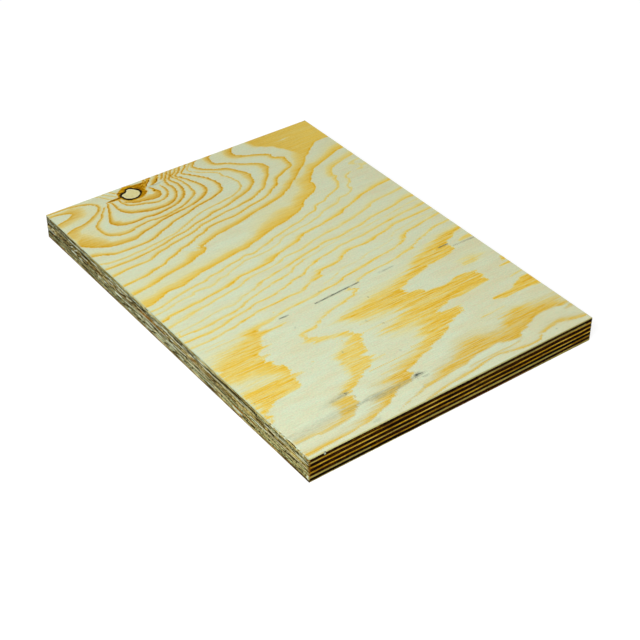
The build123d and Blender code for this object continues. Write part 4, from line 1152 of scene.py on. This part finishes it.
# strokes, and which of the left and front edges a point is on
def paintEdges(piece, points):
    x, y, z = points.T
    onLeft, onFront = x < plyEdge["leftReach"] - halfWidth, y < plyEdge["frontReach"] - halfLength
    left, front = np.flatnonzero(onLeft), np.flatnonzero(onFront)
    waveY = y[left] + 0.5 * softNoise(y[left] / 2 + 60, z[left] * 2, 71)
    waveZ = z[left] + 0.12 * softNoise(y[left] / 3 + 80, z[left] + 9, 72)
    for kind in ("dark", "amber", "olive", "light", "black"):
        values = np.zeros(len(points))
        values[left] = strokeValue(leftStrokes.get(kind, []), waveY, waveZ)
        raiseTo(values, front, strokeValue(frontStrokes.get(kind, []), x[front], z[front]))
        setValues(piece, kind, 1 - (1 - values) ** plyEdge["darkGamma"] if kind == "dark" else values)
    setValues(piece, "leftEdge", onLeft)
    setValues(piece, "frontEdge", onFront)


def onLongSide(outX, outY):        # true on the two edges that run along the panel's length
    return np.abs(outX) > np.abs(outY) * 0.99


def hollowValue(node, x, y, level):
    total = np.zeros(len(x))
    for start, stop, under, over in hollows.get(node, []):
        value = smoothstep(start - 0.9, start + 0.9, y) * smoothstep(stop + 0.9, stop - 0.9, y)
        value = value * smoothstep(under - 0.12, under + 0.12, level) * smoothstep(over + 0.12, over - 0.12, level)
        total = np.maximum(total, value * (x < 4 - halfWidth))
    return total


def makeInnerPly(node, seed, grainAlongY):
    (_, _, low), (_, _, high) = [[c / mm for c in corner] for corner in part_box(node)]
    rim = evenOutline(plyOutlines(node)[0], plyEdge["step"])
    levels = plyEdge["levels"]

    def pushIn(x, y, outX, outY, level):
        longSide = onLongSide(outX, outY)
        along = np.where(longSide, y, x)
        torn = plyEdge["endRough"] * (softNoise(along / 1.1 + 200, level * 4 + seed, seed)
                                      + 0.6 * softNoise(along / 0.75 + 90, level * 7, seed + 1))
        combed = plyEdge["sideRough"] * softNoise(along / 9 + 150, level * 5 + seed, seed + 2) * 1.6
        depth = 0.06 + np.where(longSide != grainAlongY, torn, combed)
        depth = depth + (plyEdge["glueGroove"] if level in (0, 1) else 0)
        z = np.full(len(x), low + (high - low) * level)
        depth = depth + plyEdge["strokeDepth"] * strokeValue(leftStrokes["dark"], y, z) * (x < 1 - halfWidth)
        return np.clip(depth, 0, plyEdge["deepest"]) + plyEdge["gapDepth"] * hollowValue(node, x, y, level)

    piece, points = buildPly(node.replace("_", ""), [rim], low, high, levels, pushIn)
    endGrain = onLongSide(*outward(rim).T) != grainAlongY
    hollowShade = [hollowValue(node, rim[:, 0], rim[:, 1], level) for level in levels]
    setValues(piece, "endGrain", np.tile(endGrain, len(levels)))
    setValues(piece, "hollowShade", np.concatenate(hollowShade))
    setValues(piece, "across", np.repeat(levels, len(rim)))
    paintEdges(piece, np.column_stack([np.tile(rim, (len(levels), 1)), points[:, 2]]))
    return piece


def finishInnerPly(piece, recipe, shift, tone, backDarkness, frontal=plain):
    f = Finish(piece.name + "Wood", recipe["roughness"], recipe["gloss"])
    streak = f.noise((14, 14, 0.55), 2.5, 0.55, shift, tilt=recipe["tilt"])
    slow = f.noise((36, 36, 1.5), 2, 0.5, shift + 3, tilt=recipe["tilt"] / 2)
    speck = f.noise((1.8, 1.8, 0.5), 2, 0.6, shift + 7, tilt=recipe["tilt"])
    rest = f.math("ADD", f.math("MULTIPLY", slow, 0.3), f.math("MULTIPLY", speck, 0.2))
    side = f.math("ADD", f.math("MULTIPLY", streak, 0.5), rest)
    end = f.math("ADD", f.math("MULTIPLY", streak, 0.45), f.math("MULTIPLY", speck, 0.55))
    sideColour = f.ramp(f.between(side, 0.425, 0.575), recipe["side"])
    endColour = f.ramp(f.between(end, 0.425, 0.575), recipe["end"])
    colour = f.mix(f.painted("endGrain"), sideColour, endColour)
    left = f.painted("leftEdge")
    colour = f.mix(left, colour, linear(*tone), "MULTIPLY")
    colour = f.mix(f.painted("frontEdge"), colour, linear(*frontal), "MULTIPLY")
    along = f.place()["Y"]
    nearFront = f.between(along, -0.03, -0.09)
    # the left edge gets darker and more flecked towards the back
    darkerTowardsBack = f.math("MULTIPLY", f.between(along, 0.02, 0.09), backDarkness)
    colour = f.mix(f.math("MULTIPLY", left, nearFront), colour, linear(*plyEdge["frontTint"]), "MULTIPLY")
    colour = f.mix(f.math("MULTIPLY", left, darkerTowardsBack), colour, linear(*plyEdge["backTint"]), "MULTIPLY")
    fromMiddle = f.math("ABSOLUTE", f.math("SUBTRACT", f.painted("across"), 0.5))
    glue = f.math("MULTIPLY", f.between(fromMiddle, 0.2, 0.36, 0.0, recipe["glue"]), f.between(left, 0, 1, 1, 0.3))
    colour = f.mix(glue, colour, linear(*plyEdge["glueLine"]))
    # light and dark flecks on the left edge, stronger and darker towards the back
    fleck = f.between(f.noise((2.6, 2.6, 0.34), 2, 0.6, shift + 11, tilt=recipe["tilt"] + 4), 0.36, 0.64, -1.0, 1.0)
    strong = f.math("SUBTRACT", f.math("MULTIPLY", darkerTowardsBack, 0.26), f.math("MULTIPLY", nearFront, 0.12))
    fleck = f.math("MULTIPLY", fleck, f.math("ADD", 0.34, strong))
    fleck = f.math("SUBTRACT", fleck, f.math("ADD", 0.03, f.math("MULTIPLY", darkerTowardsBack, 0.36)))
    colour = f.mix(1.0, colour, f.grey(f.math("ADD", 1.0, f.math("MULTIPLY", left, fleck))), "MULTIPLY")
    ragged = f.between(speck, 0.36, 0.62, 0.7, 1.4)
    bars = f.between(f.noise((1.1, 1.1, 3), 2, 0.6, shift + 17, tilt=20), 0.42, 0.58, 0.1, 1.4)
    for kind, texture in (("olive", ragged), ("light", ragged), ("amber", bars), ("dark", ragged), ("black", ragged)):
        colour = f.mix(f.math("MULTIPLY", f.painted(kind), texture, clamp=True), colour, linear(*plyEdge[kind]))
    # painted shade in the gaps where a strip of veneer is missing
    colour = f.mix(f.math("MULTIPLY", f.painted("hollowShade"), 0.85), colour, linear(*plyEdge["hollowShade"]))
    f.wear(piece, colour, f.math("ADD", streak, speck), 0.6, 0.12)


# the back veneer, seen only when the panel is turned over

backVeneer = {
    "step": 0.8,
    "latewood": [(0.0, (214, 210, 168)), (0.5, (215, 198, 140)), (0.8, (214, 178, 92)), (1.0, (178, 132, 56))],
    "edge": (132, 112, 30),
    "edgeLight": (183, 168, 84),
    # dark brown of the left edge: the veneer's own colour with painted contact shadow along the floor
    "leftEdge": (92, 70, 28),
    "leftEdgeLight": (150, 136, 92),
    "fibre": (150, 120, 70),
    "rings": 15.0,        # how many lie between one hill of the noise and the next hollow
    "levels": [0, 0.18, 0.6, 1],
    "roughness": 0.6,
    "gloss": 0.08,
}


def makeBackVeneer():
    (_, _, low), (_, _, high) = [[c / mm for c in corner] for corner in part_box("back_veneer")]
    rim = evenOutline(plyOutlines("back_veneer")[0], backVeneer["step"])
    levels = backVeneer["levels"]

    def pushIn(x, y, outX, outY, level):
        return 0.05 + 0.04 * softNoise(x / 1.4, y / 1.4, 31) + 0.1 * (level == 0)

    piece, points = buildPly("backVeneer", [rim], low, high, levels, pushIn)
    paintEdges(piece, np.column_stack([np.tile(rim, (len(levels), 1)), points[:, 2]]))
    print("back veneer done")
    return piece


def finishBackVeneer(piece):
    f = Finish("backPine", backVeneer["roughness"], backVeneer["gloss"])
    hills = f.noise((230, 38, 60), 1.5, 0.4, 3, 0.3)
    rings = f.math("FRACT", f.math("MULTIPLY", hills, backVeneer["rings"]))
    streak = f.noise((13, 0.7, 40), 3, shift=8)
    streaks = f.math("MULTIPLY", f.math("SUBTRACT", streak, 0.5), 0.5)
    late = f.math("ADD", f.math("POWER", rings, 3.0), streaks, clamp=True)
    fibre = f.noise((5, 0.25, 40), 2, shift=5)
    colour = f.ramp(late, backVeneer["latewood"])
    colour = f.mix(f.between(fibre, 0.55, 0.75, 0, 0.25), colour, linear(*backVeneer["fibre"]))
    along = f.between(f.noise((11, 11, 0.5), 2, shift=12), 0.4, 0.6)
    edge = f.mix(along, linear(*backVeneer["edge"]), linear(*backVeneer["edgeLight"]))
    # left edge: the veneer's dark brown with painted contact shadow along the floor
    leftEdge = f.mix(along, linear(*backVeneer["leftEdge"]), linear(*backVeneer["leftEdgeLight"]))
    edge = f.mix(f.painted("leftEdge"), edge, leftEdge)
    for kind in ("light", "amber", "dark"):
        edge = f.mix(f.painted(kind), edge, linear(*plyEdge[kind]))
    place = f.place()
    onEdge = f.math("MAXIMUM", f.between(f.math("ABSOLUTE", place["X"]), 0.1093, 0.1097),
                    f.between(f.math("ABSOLUTE", place["Y"]), 0.1523, 0.1527))
    colour = f.mix(onEdge, colour, edge)
    f.wear(piece, colour, f.math("ADD", f.math("MULTIPLY", late, 0.5), fibre), 0.35, 0.05)


# making the panel

def dress(piece, slot, *nodes):
    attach(piece, "root")
    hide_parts(*nodes)


face = makeFaceVeneer()
finishFaceVeneer(face)
dress(face, "face_pine", "face_veneer")
putty = makeKnotFiller()
finishKnotFiller(putty)
dress(putty, "putty", "knot_filler")
for number in range(1, 6):
    node = "crossband_%d" % number
    band = makeInnerPly(node, 40 + 10 * number, True)
    finishInnerPly(band, crossband, 4.0 * number, *leftTone[node])
    dress(band, "crossband_wood", node)
for number in range(1, 5):
    node = "core_ply_%d" % number
    core = makeInnerPly(node, 140 + 10 * number, False)
    finishInnerPly(core, corePly, 31 + 4.0 * number, *leftTone[node], frontTone.get(node, plain))
    dress(core, "core_wood", node)
print("crossbands and core plies done")
back = makeBackVeneer()
finishBackVeneer(back)
dress(back, "back_pine", "back_veneer")
print("all twelve pieces dressed")


# camera, where the photograph was taken from

view = {
    "place": (-0.4721, -0.6492, 0.5848),
    "right": (0.80355, -0.59523, 0.00301),
    "ahead": (0.4745, 0.6375, -0.6070),
    "lens": 84.14,
    "sensor": 36.0,
}
ahead = Vector(view["ahead"]).normalized()
right = (Vector(view["right"]) - ahead * ahead.dot(Vector(view["right"]))).normalized()
lens = bpy.data.cameras.new("photoCamera")
lens.lens, lens.sensor_width = view["lens"], view["sensor"]
camera = bpy.data.objects.new("photoCamera", lens)
turn = Matrix((right, right.cross(ahead), -ahead)).transposed().to_4x4()
camera.matrix_world = Matrix.Translation(view["place"]) @ turn
bpy.context.collection.objects.link(camera)
bpy.context.scene.camera = camera


# studio: white floor, one large soft lamp from the upper left and an even white room

studio = {
    "lampPlace": (-0.8, -0.44, 0.8),
    "lampAim": (0.0, 0.0, 0.0),
    "lampSize": 0.6,
    "lampWatts": 11.0,
    "roomLight": 0.44,
    "floorShadow": 0.3,        # share of the floor's brightness that the object's shadow can take
    "floorWhite": 1.12,        # the floor's brightness where no shadow falls
    "floorBounce": 0.8,        # how white the floor is for the light it throws back on the panel
    "floorReach": 4.0,         # from its middle to its sides, in metres
    "floorDrop": 2e-5,         # keeps it just clear of the panel
}
softBox = bpy.data.lights.new("softBox", "AREA")
softBox.energy, softBox.size = studio["lampWatts"], studio["lampSize"]
lamp = bpy.data.objects.new("softBox", softBox)
lamp.location = studio["lampPlace"]
lamp.rotation_euler = (Vector(studio["lampAim"]) - Vector(studio["lampPlace"])).to_track_quat("-Z", "Y").to_euler()
bpy.context.collection.objects.link(lamp)


def seenRays(tree):        # 1 for rays that show the background: camera, glossy and transmission rays
    rays = tree.nodes.new("ShaderNodeLightPath")
    total = rays.outputs["Is Camera Ray"]
    for name in ("Is Glossy Ray", "Is Transmission Ray"):
        both = tree.nodes.new("ShaderNodeMath")
        both.operation = "MAXIMUM"
        tree.links.new(total, both.inputs[0])
        tree.links.new(rays.outputs[name], both.inputs[1])
        total = both.outputs[0]
    return total


room = bpy.data.worlds.new("room")
bpy.context.scene.world = room
room.use_nodes = True
background = room.node_tree.nodes["Background"]
background.inputs["Color"].default_value = (1, 1, 1, 1)
brightness = room.node_tree.nodes.new("ShaderNodeMapRange")
brightness.inputs["To Min"].default_value = studio["roomLight"]
brightness.inputs["To Max"].default_value = 1.0
room.node_tree.links.new(seenRays(room.node_tree), brightness.inputs["Value"])
room.node_tree.links.new(brightness.outputs[0], background.inputs["Strength"])

paper = bpy.data.materials.new("whiteFloor")
paper.use_nodes = True
tree = paper.node_tree
tree.nodes.clear()
matte, shine, total = (tree.nodes.new("ShaderNode" + kind) for kind in ("BsdfDiffuse", "Emission", "AddShader"))
output = tree.nodes.new("ShaderNodeOutputMaterial")
seen = seenRays(tree)
tone = tree.nodes.new("ShaderNodeMapRange")
tone.inputs["To Min"].default_value = studio["floorBounce"]
tone.inputs["To Max"].default_value = studio["floorShadow"]
glow = tree.nodes.new("ShaderNodeMath")
glow.operation = "MULTIPLY"
glow.inputs[1].default_value = studio["floorWhite"] - studio["floorShadow"]
for source, target in ((seen, tone.inputs["Value"]), (tone.outputs[0], matte.inputs["Color"]),
                       (seen, glow.inputs[0]), (glow.outputs[0], shine.inputs["Strength"]),
                       (matte.outputs[0], total.inputs[0]), (shine.outputs[0], total.inputs[1]),
                       (total.outputs[0], output.inputs["Surface"])):
    tree.links.new(source, target)
sheet = bpy.data.meshes.new("floor")
corners = [(x * studio["floorReach"], y * studio["floorReach"], -studio["floorDrop"])
           for x, y in ((-1, -1), (1, -1), (1, 1), (-1, 1))]
sheet.from_pydata(corners, [], [(0, 1, 2, 3)])
sheet.materials.append(paper)
floor = bpy.data.objects.new("floor", sheet)
bpy.context.collection.objects.link(floor)
bpy.context.scene.view_settings.view_transform = "Standard"
print("camera, lamp and floor placed")
